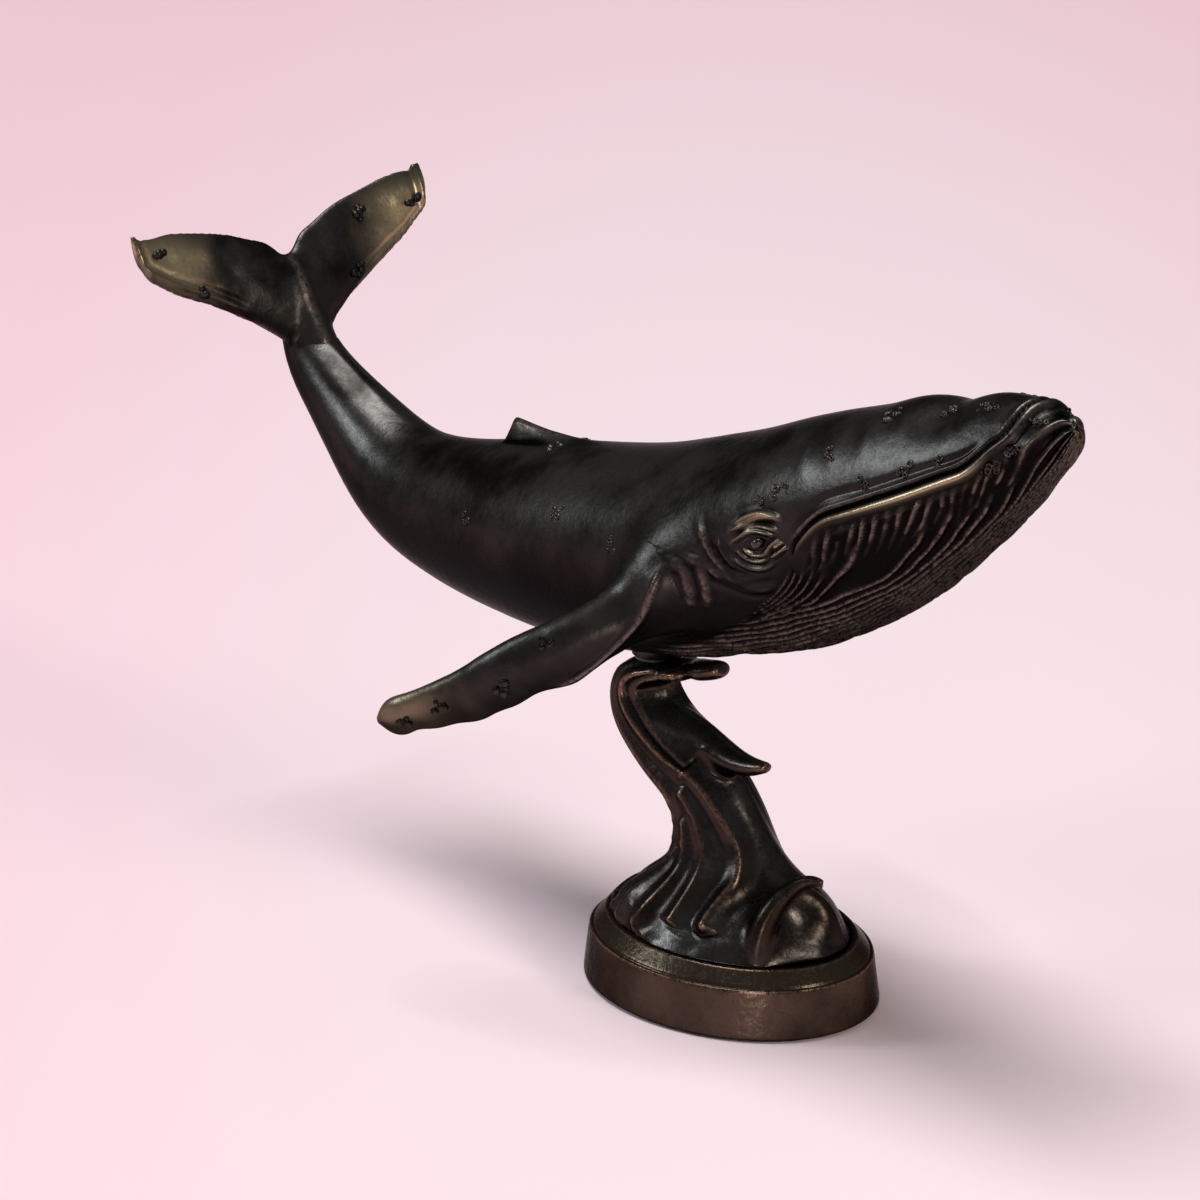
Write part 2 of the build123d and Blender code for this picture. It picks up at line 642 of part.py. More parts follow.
# Screws and washers under the plinth's roof
washer_z = ROOF_Z - SCREW_WASHER_THICKNESS
washer_face = Circle(SCREW_WASHER_DIAMETER / 2) - Circle(WAVE_SCREW_DIAMETER / 2 + SCREW_CLEARANCE)
screw_washer = Pos(0, 0, washer_z) * extrude(washer_face, SCREW_WASHER_THICKNESS)
screw_head = Pos(0, 0, washer_z - WAVE_SCREW_HEAD_HEIGHT) * extrude(
    Circle(WAVE_SCREW_HEAD / 2), WAVE_SCREW_HEAD_HEIGHT
)
shank_length = SCREW_WASHER_THICKNESS + PLINTH_ROOF + WAVE_SCREW_GRIP
screw_shank = Pos(0, 0, washer_z) * extrude(Circle(WAVE_SCREW_DIAMETER / 2), shank_length)
wave_screws = [place * (screw_head + screw_shank) for place in wave_screw_places]
screw_washers = [place * screw_washer for place in wave_screw_places]

# Swivel pin, washer and bush
pin_length = PIN_IN_CREST + WASHER_THICKNESS + PIN_IN_BUSH
mount_pin = cylinder_along(pin_foot, (0, 0, 1), PIN_DIAMETER, pin_length)
washer_ring = Circle(WASHER_DIAMETER / 2) - Circle(bush_bore / 2)
thrust_washer = Pos(PIN_X, 0, CREST_Z) * extrude(washer_ring, WASHER_THICKNESS)
belly_bush = Pos(PIN_X, 0, SEAT_Z) * extrude(Circle(bush_outside / 2) - Circle(bush_bore / 2), BUSH_LENGTH)

# Whale: one outer loft gives the body, the tail and the cut where the flippers sit
LAST_SECTION_INDEX = len(BODY_SECTIONS) - 1
whale_skin = body_loft(0, LAST_SECTION_INDEX, 0.0, relief=1.0)
tail_plane = body_planes()[TAIL_JOINT_INDEX]
tail_stock = split(whale_skin, bisect_by=tail_plane, keep=Keep.BOTTOM)
body_shape = split(whale_skin, bisect_by=tail_plane, keep=Keep.TOP)

# Flippers: rounded sections from the shoulder out to the tip, mirrored for the other side
flipper_root = on_body(FLIPPER_INDEX, -FLIPPER_ROOT_SHARE * BODY_WIDTH / 2, -FLIPPER_ROOT_DROP)
flipper_points = [
    flipper_root + Vector(-back, -out, -down) * FLIPPER_LENGTH
    for back, out, down, chord, thick in FLIPPER_SECTIONS
]
flipper_faces = []
for point, direction, row in zip(flipper_points, tangents(flipper_points), FLIPPER_SECTIONS):
    back, out, down, chord, thick = row
    chord_line = FLIPPER_CHORD_LINE - direction * FLIPPER_CHORD_LINE.dot(direction)
    plane = Plane(point, x_dir=chord_line, z_dir=direction)
    half_thick = thick * FLIPPER_THICKNESS / 2
    flipper_faces.append(closed_section(plane, chord * FLIPPER_CHORD / 2, half_thick, half_thick))
flipper_out = tangents(flipper_points)[0]
flipper_seat = flipper_root + flipper_out * FLIPPER_ROOT_DEPTH
dowel_bore = DOWEL_DIAMETER + 2 * DOWEL_CLEARANCE
dowel_hole_length = DOWEL_LENGTH + 2 * DOWEL_END_GAP
flipper_dowel_start = flipper_seat - flipper_out * (DOWEL_LENGTH / 2)
flipper_hole_start = flipper_seat - flipper_out * (dowel_hole_length / 2)
flipper_hole = cylinder_along(flipper_hole_start, flipper_out, dowel_bore, dowel_hole_length)
right_flipper = loft(flipper_faces) - body_loft(0, LAST_SECTION_INDEX, CASTING_SEAM) - flipper_hole
right_flipper_dowel = cylinder_along(flipper_dowel_start, flipper_out, DOWEL_DIAMETER, DOWEL_LENGTH)
left_flipper = mirror(right_flipper, about=Plane.XZ)
left_flipper_dowel = mirror(right_flipper_dowel, about=Plane.XZ)

# Tail: the end of the stock with both flukes, set on the body's end face with a dowel
fluke_origin = spine_points()[0] + Vector(-FLUKE_BEHIND_TAIL, -FLUKE_ASIDE, FLUKE_OVER_TAIL)
fluke_up = Vector(-sin(radians(FLUKE_LEAN)), 0, cos(radians(FLUKE_LEAN)))
fluke_span = Vector(0, cos(radians(FLUKE_ROLL)), sin(radians(FLUKE_ROLL)))
fluke_rows = [(-along, lead, trail, thick) for along, lead, trail, thick in FLUKE_SECTIONS[:0:-1]]
fluke_faces = []
for along, lead, trail, thick in fluke_rows + FLUKE_SECTIONS:
    middle = fluke_up * ((lead + trail) / 2 * FLUKE_CHORD)
    place = fluke_origin + fluke_span * (along * FLUKE_SPAN / 2) + middle
    plane = Plane(place, x_dir=fluke_up - fluke_span * fluke_up.dot(fluke_span), z_dir=fluke_span)
    half_thick = thick * FLUKE_THICKNESS / 2
    fluke_faces.append(closed_section(plane, (trail - lead) / 2 * FLUKE_CHORD, half_thick, half_thick))
tail_direction = tail_plane.z_dir
tail_dowel_start = tail_plane.origin - tail_direction * (DOWEL_LENGTH / 2)
tail_hole_start = tail_plane.origin - tail_direction * (dowel_hole_length / 2)
tail_hole = cylinder_along(tail_hole_start, tail_direction, dowel_bore, dowel_hole_length)
tail_dowel = cylinder_along(tail_dowel_start, tail_direction, DOWEL_DIAMETER, DOWEL_LENGTH)
tail_flukes = tail_stock + (loft(fluke_faces) - body_shape) - tail_hole

# Dorsal fin: a low fin with a steep rear edge, cast in one with the body
dorsal_plane = body_planes()[DORSAL_INDEX]
dorsal_along = dorsal_plane.z_dir
dorsal_up = dorsal_plane.y_dir
dorsal_foot = BODY_SECTIONS[DORSAL_INDEX][2] * BODY_DEPTH / 2
dorsal_faces = []
for lift, shift, length, thick in DORSAL_SECTIONS:
    place = dorsal_plane.origin + dorsal_up * (dorsal_foot + lift * DORSAL_HEIGHT)
    place += dorsal_along * (shift * DORSAL_LENGTH)
    plane = Plane(place, x_dir=dorsal_along, z_dir=dorsal_up)
    half_thick = thick * DORSAL_THICKNESS / 2
    dorsal_faces.append(closed_section(plane, length * DORSAL_LENGTH / 2, half_thick, half_thick))
body_shape += loft(dorsal_faces)


# Hollow body with bosses for the swivel bush and the flipper dowels
dowel_boss = dowel_bore + 2 * DOWEL_BOSS_WALL
swivel_boss = Pos(PIN_X, 0, SEAT_Z) * extrude(Circle(boss_outside / 2), BUSH_LENGTH)
flipper_boss = cylinder_along(
    flipper_hole_start - flipper_out * DOWEL_BOSS_WALL, flipper_out, dowel_boss, DOWEL_LENGTH
)
cavity = body_loft(CAVITY_FIRST_INDEX, CAVITY_LAST_INDEX, -BODY_WALL)
cavity -= swivel_boss
cavity -= flipper_boss
cavity -= mirror(flipper_boss, about=Plane.XZ)
whale_body = body_shape + swivel_boss
whale_body -= cavity
whale_body -= tail_hole
whale_body -= flipper_hole
whale_body -= mirror(flipper_hole, about=Plane.XZ)
bush_seat = Circle(bush_outside / 2 + BUSH_FIT)
whale_body -= Pos(PIN_X, 0, SEAT_Z) * extrude(bush_seat, BUSH_LENGTH)

# Eyes: glass beads let into the flanks
eye_side = BODY_SECTIONS[EYE_INDEX][4] * BODY_WIDTH / 2 - EYE_INSET
eyes = {}
for name, side in (("right_eye", -1), ("left_eye", 1)):
    centre = on_body(EYE_INDEX, side * eye_side, 0)
    eyes[name] = Pos(*centre) * Sphere(EYE_DIAMETER / 2)
    whale_body -= Pos(*centre) * Sphere(EYE_DIAMETER / 2 + EYE_CLEARANCE)

nodes = {
    "plinth": plinth,
    "bottom_plate": bottom_plate,
    "plate_screws": Compound(children=plate_screws),
    "felt_pad": felt_pad,
    "wave_pedestal": wave_pedestal,
    "wave_screws": Compound(children=wave_screws),
    "screw_washers": Compound(children=screw_washers),
    "mount_pin": mount_pin,
    "thrust_washer": thrust_washer,
    "belly_bush": belly_bush,
    "whale_body": whale_body,
    "tail_flukes": tail_flukes,
    "tail_dowel": tail_dowel,
    "right_flipper": right_flipper,
    "left_flipper": left_flipper,
    "right_flipper_dowel": right_flipper_dowel,
    "left_flipper_dowel": left_flipper_dowel,
    "right_eye": eyes["right_eye"],
    "left_eye": eyes["left_eye"],
}
for node, shape in nodes.items():
    export_step(shape, f"parts/{node}.step")
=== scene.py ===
import bpy
import numpy as np
from mathutils import Matrix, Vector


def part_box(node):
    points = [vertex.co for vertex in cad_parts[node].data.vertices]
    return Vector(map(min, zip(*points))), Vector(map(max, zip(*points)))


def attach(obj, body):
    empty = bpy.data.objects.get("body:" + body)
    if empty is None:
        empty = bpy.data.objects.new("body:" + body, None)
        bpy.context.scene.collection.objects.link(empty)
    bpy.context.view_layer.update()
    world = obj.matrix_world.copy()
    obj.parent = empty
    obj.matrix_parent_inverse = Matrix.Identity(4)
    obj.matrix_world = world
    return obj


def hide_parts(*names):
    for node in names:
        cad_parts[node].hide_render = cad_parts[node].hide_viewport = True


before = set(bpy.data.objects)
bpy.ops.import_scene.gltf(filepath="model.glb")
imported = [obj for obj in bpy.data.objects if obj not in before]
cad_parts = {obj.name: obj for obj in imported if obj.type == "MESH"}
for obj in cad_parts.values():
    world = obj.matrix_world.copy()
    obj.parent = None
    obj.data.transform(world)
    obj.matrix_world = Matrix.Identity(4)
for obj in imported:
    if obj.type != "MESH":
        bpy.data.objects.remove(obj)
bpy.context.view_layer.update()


# Felt pad
# Black wool felt, stamped to the oval of the ballast plate and glued under it. Only its edge
# shows, as a dark line under the plinth's rim.
MM = 0.001
FELT_BLACK = (0.010, 0.010, 0.011)
FELT_LINT = (0.050, 0.047, 0.045)
FELT_FIBRE = 0.45 * MM


def new_finish(name):
    """A material with one Principled shader: the material, its node tree and the shader."""
    material = bpy.data.materials.new(name)
    material.use_nodes = True
    return material, material.node_tree, material.node_tree.nodes["Principled BSDF"]


def grain(tree, size, detail=3.0):
    """Noise from 0 to 1 on the piece's own coordinates, with grains of a size in metres."""
    place = tree.nodes.new("ShaderNodeTexCoord")
    noise = tree.nodes.new("ShaderNodeTexNoise")
    noise.inputs["Scale"].default_value = 1.0 / size
    noise.inputs["Detail"].default_value = detail
    noise.inputs["Roughness"].default_value = 0.6
    tree.links.new(place.outputs["Object"], noise.inputs["Vector"])
    return noise.outputs["Fac"]


def eased(tree, value, start, end, low=0.0, high=1.0):
    """A value carried smoothly from low to high while the input goes from start to end."""
    node = tree.nodes.new("ShaderNodeMapRange")
    node.interpolation_type = "SMOOTHSTEP"
    tree.links.new(value, node.inputs["Value"])
    for socket, number in (("From Min", start), ("From Max", end), ("To Min", low), ("To Max", high)):
        node.inputs[socket].default_value = number
    return node.outputs["Result"]


def tinted(tree, share, below, above):
    """The colour between two colours by a share. Each colour is a triple or another socket."""
    node = tree.nodes.new("ShaderNodeMix")
    node.data_type = "RGBA"
    tree.links.new(share, node.inputs[0])
    for socket, colour in ((node.inputs[6], below), (node.inputs[7], above)):
        if isinstance(colour, tuple):
            socket.default_value = (*colour, 1.0)
        else:
            tree.links.new(colour, socket)
    return node.outputs[2]


def pitted(tree, shader, height, depth):
    """Fine relief in the finish: a height from 0 to 1 stands for a depth in metres."""
    bump = tree.nodes.new("ShaderNodeBump")
    bump.inputs["Distance"].default_value = depth
    tree.links.new(height, bump.inputs["Height"])
    tree.links.new(bump.outputs["Normal"], shader.inputs["Normal"])


def dress_node(node, material):
    """A solid of the frame shown as it is, with a finish."""
    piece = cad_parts[node]
    piece.data.materials.clear()
    piece.data.materials.append(material)


felt, felt_tree, felt_shader = new_finish("black_felt")
felt_lint = grain(felt_tree, FELT_FIBRE, 6.0)
felt_colour = tinted(felt_tree, eased(felt_tree, felt_lint, 0.45, 0.75), FELT_BLACK, FELT_LINT)
felt_tree.links.new(felt_colour, felt_shader.inputs["Base Color"])
felt_shader.inputs["Roughness"].default_value = 0.95
pitted(felt_tree, felt_shader, felt_lint, 0.15 * MM)
dress_node("felt_pad", felt)


# Ballast plate
# Mild steel, cut to an oval that lies in the plinth's rabbet and blackened by its mill scale.
# Two countersunk screws hold it up against posts inside the plinth.
SCALE_GREY = (0.10, 0.10, 0.105)
SCALE_BLUE = (0.17, 0.18, 0.19)


def rolled_steel(name, dark, light, size, roughness):
    """Plain steel with a mottle of two greys and a fine relief of the same grain."""
    material, tree, shader = new_finish(name)
    mottle = grain(tree, size, 5.0)
    colour = tinted(tree, eased(tree, mottle, 0.35, 0.7), dark, light)
    tree.links.new(colour, shader.inputs["Base Color"])
    shader.inputs["Metallic"].default_value = 0.9
    shader.inputs["Roughness"].default_value = roughness
    pitted(tree, shader, mottle, 0.02 * MM)
    return material


dress_node("bottom_plate", rolled_steel("mill_steel", SCALE_GREY, SCALE_BLUE, 6 * MM, 0.5))


# Screws, washers, pin and dowels
# Bright turned steel: the screws of the plate and of the wave, the washers under their heads,
# the swivel pin pressed in the crest, and the dowels in the tail and the flippers.
TURNED_DARK = (0.36, 0.36, 0.37)
TURNED_LIGHT = (0.52, 0.52, 0.53)
STEEL_NODES = (
    "plate_screws", "wave_screws", "screw_washers", "mount_pin",
    "tail_dowel", "right_flipper_dowel", "left_flipper_dowel",
)
turned_steel = rolled_steel("turned_steel", TURNED_DARK, TURNED_LIGHT, 0.8 * MM, 0.3)
for steel_node in STEEL_NODES:
    dress_node(steel_node, turned_steel)


# Thrust washer
# A ring of black nylon, punched from sheet. It lies loose round the pin on the crest and carries
# the whale while it turns.
NYLON_WARM = (0.026, 0.024, 0.022)
NYLON_CLEAR = (0.042, 0.040, 0.038)
nylon, nylon_tree, nylon_shader = new_finish("washer_nylon")
nylon_cloud = grain(nylon_tree, 2.0 * MM)
nylon_colour = tinted(nylon_tree, nylon_cloud, NYLON_WARM, NYLON_CLEAR)
nylon_tree.links.new(nylon_colour, nylon_shader.inputs["Base Color"])
nylon_shader.inputs["Roughness"].default_value = 0.45
dress_node("thrust_washer", nylon)


# Belly bush
# A turned brass sleeve pressed in the boss under the whale's belly. It runs on the steel pin and
# rests on the washer.
BRASS_DULL = (0.42, 0.29, 0.11)
BRASS_BRIGHT = (0.62, 0.45, 0.18)
bush_brass = rolled_steel("bush_brass", BRASS_DULL, BRASS_BRIGHT, 1.2 * MM, 0.32)
dress_node("belly_bush", bush_brass)


# Plinth
# An oval bronze casting with a leaning side, a groove, a polished bevel and a flat top, hollow
# underneath. The side keeps the faint hammering of the mould.
PLINTH_LENGTH = 84.0 * MM
PLINTH_WIDTH = 65.2 * MM
PLINTH_COLUMNS = 420
PLINTH_HAMMER = 0.07 * MM
BEVEL_FOOT_Z = 13.05 * MM
BEVEL_TOP_Z = 17.0 * MM
GROOVE_INSET = 2.25 * MM
# Inset from the foot's outline and height, from the inside of the roof round the rim to the top.
PLINTH_PROFILE = np.array([
    (14.0, 12.2), (6.0, 12.2), (6.0, 4.1), (2.6, 4.1), (2.6, 0.62), (0.9, 0.6), (0.35, 0.68),
    (0.06, 0.98), (0.05, 1.6), (1.30, 11.5), (1.45, 12.55), (1.62, 13.05), (1.95, 13.22),
    (2.20, 13.05), (2.42, 13.25), (2.62, 13.75), (5.45, 16.90), (5.72, 17.14), (6.10, 17.20), (14.0, 17.20),
]) * MM


def cast_mesh(name, shells):
    """One mesh from closed shells. A shell is a grid of points, rows along it and columns round it.

    Neighbouring rows are joined by quads, each end is shut by a fan to its middle, and a shell
    whose enclosed volume comes out negative is turned so that its faces look outwards.
    """
    points, faces, first = [], [], 0
    for grid in shells:
        rows, columns = grid.shape[:2]
        index = np.arange(rows * columns).reshape(rows, columns)
        beside = np.roll(index, -1, axis=1)
        quads = np.stack([index[:-1], beside[:-1], beside[1:], index[1:]], axis=-1).reshape(-1, 4)
        middles = np.array([grid[0].mean(axis=0), grid[-1].mean(axis=0)])
        corners = np.concatenate([grid.reshape(-1, 3), middles])
        near = np.stack([beside[0], index[0], np.full(columns, rows * columns)], axis=-1)
        far = np.stack([index[-1], beside[-1], np.full(columns, rows * columns + 1)], axis=-1)
        a, b, c, d = (corners[quads[:, k]] for k in range(4))
        volume = (a * np.cross(b, c)).sum() + (a * np.cross(c, d)).sum()
        turn = -1 if volume < 0 else 1
        for group in (quads, near, far):
            faces += (group[:, ::turn] + first).tolist()
        points.append(corners)
        first += len(corners)
    mesh = bpy.data.meshes.new(name)
    mesh.from_pydata(np.concatenate(points).tolist(), [], faces)
    mesh.polygons.foreach_set("use_smooth", np.ones(len(faces), bool))
    mesh.update()
    return mesh


def points_of(mesh):
    """The mesh's vertices and their normals as two arrays."""
    points = np.empty(len(mesh.vertices) * 3)
    normals = np.empty(len(mesh.vertices) * 3)
    mesh.vertices.foreach_get("co", points)
    mesh.vertex_normals.foreach_get("vector", normals)
    return points.reshape(-1, 3), normals.reshape(-1, 3)


def set_points(mesh, points):
    """The mesh's vertices moved to new points."""
    mesh.vertices.foreach_set("co", points.ravel())
    mesh.update()


def eased_points(mesh, points, rounds):
    """Points after a number of smoothing rounds: each goes to the mean of its neighbours."""
    ends = np.empty(len(mesh.edges) * 2, dtype=int)
    mesh.edges.foreach_get("vertices", ends)
    a, b = ends.reshape(-1, 2).T
    count = len(points)
    degree = np.maximum(np.bincount(a, minlength=count) + np.bincount(b, minlength=count), 1)
    for _ in range(rounds):
        sums = [np.bincount(a, p[b], count) + np.bincount(b, p[a], count) for p in points.T]
        points = np.stack(sums, axis=1) / degree[:, None]
    return points


def ramp(values, start, end):
    """0 at start and 1 at end with an eased rise between, for whole arrays."""
    share = np.clip((values - start) / (end - start), 0.0, 1.0)
    return share * share * (3.0 - 2.0 * share)


def bell(values, width):
    """1 at nothing, falling off as exp(-(value / width) squared)."""
    return np.exp(-((values / width) ** 2))


def mottle(points, size, seed):
    """Smooth noise from -1 to 1: random heights on a lattice of cells of a size, eased between."""
    heights = np.random.default_rng(seed).uniform(-1.0, 1.0, 4096)
    cell = np.floor(points / size).astype(np.int64)
    part = points / size - cell
    part = part * part * (3.0 - 2.0 * part)
    total = np.zeros(len(points))
    for corner in np.ndindex(2, 2, 2):
        x, y, z = (cell + np.array(corner)).T
        key = (x * 73856093 ^ y * 19349663 ^ z * 83492791) & 4095
        weight = np.where(np.array(corner) == 1, part, 1.0 - part).prod(axis=1)
        total += weight * heights[key]
    return total


def put_mask(mesh, name, values):
    """A share from 0 to 1 at each vertex, kept as the piece's own attribute."""
    attribute = mesh.attributes.new(name, "FLOAT", "POINT")
    attribute.data.foreach_set("value", np.clip(values, 0.0, 1.0).astype(np.float32))


def proud_of(mesh, rounds):
    """How far each vertex stands out of its neighbourhood along its normal, in metres."""
    points, normals = points_of(mesh)
    return ((points - eased_points(mesh, points, rounds)) * normals).sum(axis=1)


def weather(mesh, stand, gilt, painted_shade):
    """What handling and time leave on the bronze, and the light and shade painted into it, as masks for its
    finish.

    Stand is 1 where a vertex is rubbed as it stands proud and -1 deep in a hollow. Painted top light is how
    much it looks upwards, a painted highlight of the light from above. Gilt is gold brushed on, and painted
    shade is black painted where it looks down.
    """
    points, normals = points_of(mesh)
    put_mask(mesh, "rub", ramp(stand, 0.25, 1.0))
    put_mask(mesh, "hollow", ramp(-stand, 0.15, 0.9))
    # Painted light: a top tone that grows as the vertex looks upwards, standing in for the light from above.
    put_mask(mesh, "painted_top_light", ramp(normals[:, 2], -0.1, 0.9))
    put_mask(mesh, "gilt", gilt * np.ones(len(points)))
    # Painted shade: black laid on as the vertex looks down, or the given share where that is more.
    put_mask(mesh, "painted_shade", np.maximum(painted_shade, 0.85 * ramp(-normals[:, 2], -0.05, 0.45)))


BRUSHED_GOLD = (0.46, 0.38, 0.235)
# Near black painted as shade.
PAINTED_SHADE_BLACK = (0.006, 0.005, 0.0045)
HOLLOW_BLACK = (0.0035, 0.003, 0.0025)
EDGE_TINT = (0.30, 0.28, 0.26, 1.0)
CLOUD_SIZE = 22 * MM
SPECK_SIZE = 1.1 * MM
SKIN_GRAIN = 2.2 * MM


def bronze(name, deep, brown, copper, painted_top_light, relief, gloss):
    """Patinated bronze: brown-black mottle, a painted cool top light, painted shade below, copper where
    rubbed, gold, black hollows.

    Relief is the depth of its fine grain, and gloss its lowest and highest roughness.
    """
    material, tree, shader = new_finish(name)

    def mask(layer):
        node = tree.nodes.new("ShaderNodeAttribute")
        node.attribute_name = layer
        return node.outputs["Fac"]

    def product(first, second):
        node = tree.nodes.new("ShaderNodeMath")
        node.operation = "MULTIPLY"
        tree.links.new(first, node.inputs[0])
        tree.links.new(second, node.inputs[1])
        return node.outputs[0]

    cloud = grain(tree, CLOUD_SIZE, 4.0)
    speck = grain(tree, SPECK_SIZE, 5.0)
    skin = grain(tree, SKIN_GRAIN, 5.0)
    colour = tinted(tree, eased(tree, cloud, 0.35, 0.68), deep, brown)
    # Painted light: the top light colour laid over the mottle where the piece looks upwards.
    colour = tinted(tree, product(mask("painted_top_light"), eased(tree, cloud, 0.30, 0.62)), colour, painted_top_light)
    colour = tinted(tree, product(mask("gilt"), eased(tree, speck, 0.10, 0.42)), colour, BRUSHED_GOLD)
    # Painted shade: near black over what looks down and over the shaded belly.
    colour = tinted(tree, mask("painted_shade"), colour, PAINTED_SHADE_BLACK)
    colour = tinted(tree, product(mask("rub"), eased(tree, speck, 0.30, 0.58)), colour, copper)
    colour = tinted(tree, mask("hollow"), colour, HOLLOW_BLACK)
    tree.links.new(colour, shader.inputs["Base Color"])
    shader.inputs["Metallic"].default_value = 0.85
    shader.inputs["Specular IOR Level"].default_value = 0.25
    shader.inputs["Specular Tint"].default_value = EDGE_TINT
    tree.links.new(eased(tree, speck, 0.3, 0.7, *gloss), shader.inputs["Roughness"])
    pitted(tree, shader, skin, relief)
    return material


def bronze_piece(name, mesh, material, body, slot, *nodes):
    """A finished bronze piece: put in the scene on its body, for its solids, which it hides. The slot is not
    used.
    """
    mesh.materials.append(material)
    piece = bpy.data.objects.new(name, mesh)
    bpy.context.scene.collection.objects.link(piece)
    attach(piece, body)
    if nodes:
        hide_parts(*nodes)
    return piece


def plinth_steps():
    """Inset and height along the profile, cut into short steps so that the side can carry relief."""
    reach = np.concatenate([[0.0], np.cumsum(np.linalg.norm(np.diff(PLINTH_PROFILE, axis=0), axis=1))])
    steps = np.unique(np.concatenate([reach, np.arange(0.0, reach[-1], 0.7 * MM)]))
    return np.interp(steps, reach, PLINTH_PROFILE[:, 0]), np.interp(steps, reach, PLINTH_PROFILE[:, 1])


def plinth_point(inset, height, turn):
    """The profile carried round the oval: half sizes less the inset, by cos and sin of the turn."""
    x = (PLINTH_LENGTH / 2 - inset) * np.cos(turn)
    y = (PLINTH_WIDTH / 2 - inset) * np.sin(turn)
    return np.stack([x, y, height], axis=-1)


plinth_inset, plinth_height = plinth_steps()
plinth_turn = np.linspace(0.0, 2.0 * np.pi, PLINTH_COLUMNS, endpoint=False)
inset_of = np.repeat(plinth_inset, PLINTH_COLUMNS)
height_of = np.repeat(plinth_height, PLINTH_COLUMNS)
plinth_skin = plinth_point(inset_of, height_of, np.tile(plinth_turn, len(plinth_inset)))
plinth_dents = mottle(plinth_skin, 3.0 * MM, 11) + 0.6 * mottle(plinth_skin, 1.4 * MM, 12)
plinth_side = ramp(height_of, 1.4 * MM, 2.4 * MM) * ramp(height_of, 12.4 * MM, 11.4 * MM)
plinth_side *= inset_of < 2.0 * MM
plinth_skin[:, :2] *= (1.0 + plinth_dents * plinth_side * PLINTH_HAMMER / (PLINTH_LENGTH / 2))[:, None]
plinth_mesh = cast_mesh("plinth_casting", [plinth_skin.reshape(len(plinth_inset), PLINTH_COLUMNS, 3)])
on_bevel = ramp(height_of, 13.5 * MM, 13.9 * MM) * ramp(height_of, 17.19 * MM, BEVEL_TOP_Z)
on_bevel *= inset_of > 2.3 * MM
at_edge = np.maximum(bell(height_of - BEVEL_FOOT_Z, 0.35 * MM), bell(height_of - BEVEL_TOP_Z, 0.25 * MM))
in_groove = 1.2 * bell(inset_of - GROOVE_INSET, 0.14 * MM) * (height_of > 12.9 * MM)
at_edge = at_edge * (inset_of < 5.9 * MM) - in_groove
weather(plinth_mesh, np.append(0.85 * at_edge, [0.0, 0.0]), np.append(0.05 * on_bevel, [0.0, 0.0]), 0.0)
plinth_bronze = bronze(
    "plinth_bronze", deep=(0.035, 0.023, 0.017), brown=(0.081, 0.054, 0.041), copper=(0.22, 0.14, 0.10),
    painted_top_light=(0.045, 0.034, 0.027), relief=0.14 * MM, gloss=(0.18, 0.30),
)
bronze_piece("plinth_casting", plinth_mesh, plinth_bronze, "stand", "plinth_bronze", "plinth")


# Wave pedestal
# One bronze casting screwed to the plinth from below: a skirt of water that fills the plinth's
# top, a leaning column of ridges that turns into the crest, a second curl and a small breaker.
WAVE_FOOT_Z = 17.2 * MM
WAVE_HEIGHT = 61.8 * MM
CREST_REACH = 29.0 * MM
COLUMN_HALF = 10.0 * MM
CREST_SEAT_RADIUS = 6.65 * MM
CREST_Z = WAVE_FOOT_Z + WAVE_HEIGHT
CURL_ROOT = 28.0 * MM
CURL_REACH = 41.0 * MM
BREAKER_FOOT = np.array([24.5, 1.5, 17.2]) * MM
BREAKER_ASIDE = (0.643, 0.766, 0.0)
BREAKER_FORWARD = (0.766, -0.643, 0.0)
WAVE_VOXEL = 0.46 * MM
# Column and crest from below the foot up: lean towards the tail as a share of the crest's reach,
# height as a share of the wave's, half depth and half width as shares of the column's.
COLUMN_SECTIONS = np.array([
    (0.00, -0.065, 3.54, 2.59), (0.00, 0.000, 3.50, 2.56), (0.00, 0.053, 3.05, 2.28),
    (0.03, 0.142, 2.36, 1.88),
    (0.06, 0.256, 1.62, 1.46), (0.12, 0.369, 1.23, 1.22), (0.25, 0.482, 1.06, 1.09),
    (0.46, 0.557, 1.02, 1.04),
    (0.70, 0.615, 0.98, 1.02), (0.96, 0.706, 0.91, 1.00), (1.12, 0.809, 0.79, 0.95),
    (1.12, 0.896, 0.63, 0.90),
    (0.97, 0.952, 0.42, 0.84), (0.69, 0.985, 0.31, 0.72), (0.42, 1.014, 0.27, 0.56),
    (0.22, 1.040, 0.25, 0.40),
    (0.13, 1.056, 0.17, 0.26),
])
FIRST_COLUMN_SECTION = -2.0
# Swell of the skirt towards the whale's right and tail: turn round the column, spread, section, share.
SWELL_TURN, SWELL_SPREAD, SWELL_SECTION, SWELL_SHARE = np.radians(-128.0), 0.55, 1.0, 0.27
# Second curl, an upright blade that leaves the neck and slopes down to its lip: forward reach, height, half
# depth and half width as shares of its own sizes.
CURL_SECTIONS = np.array([
    (0.00, 0.770, 0.45, 0.74), (0.22, 0.735, 0.54, 0.74), (0.45, 0.700, 0.52, 0.62),
    (0.68, 0.680, 0.38, 0.47),
    (0.86, 0.690, 0.24, 0.32), (1.00, 0.715, 0.13, 0.19),
])
# Bowl of the breaker: middle and half sizes in mm, aside, forward and up from its foot.
BREAKER_BOWL_MIDDLE = np.array([-1.0, -1.2, -3.0]) * MM
BREAKER_BOWL_HALF = np.array([12.0, 7.0, 18.8]) * MM
# Roll of its lip: aside, forward and up in mm from its foot, then the radius.
BREAKER_LIP = np.array([
    (-11.4, 9.4, -4.5, 4.2), (-11.0, 9.0, 1.6, 4.0), (-9.4, 8.4, 8.6, 3.5), (-6.2, 7.6, 14.2, 3.0),
    (-2.0, 7.0, 18.2, 2.5), (1.8, 7.0, 19.9, 2.0), (5.2, 7.7, 19.6, 1.3),
]) * MM
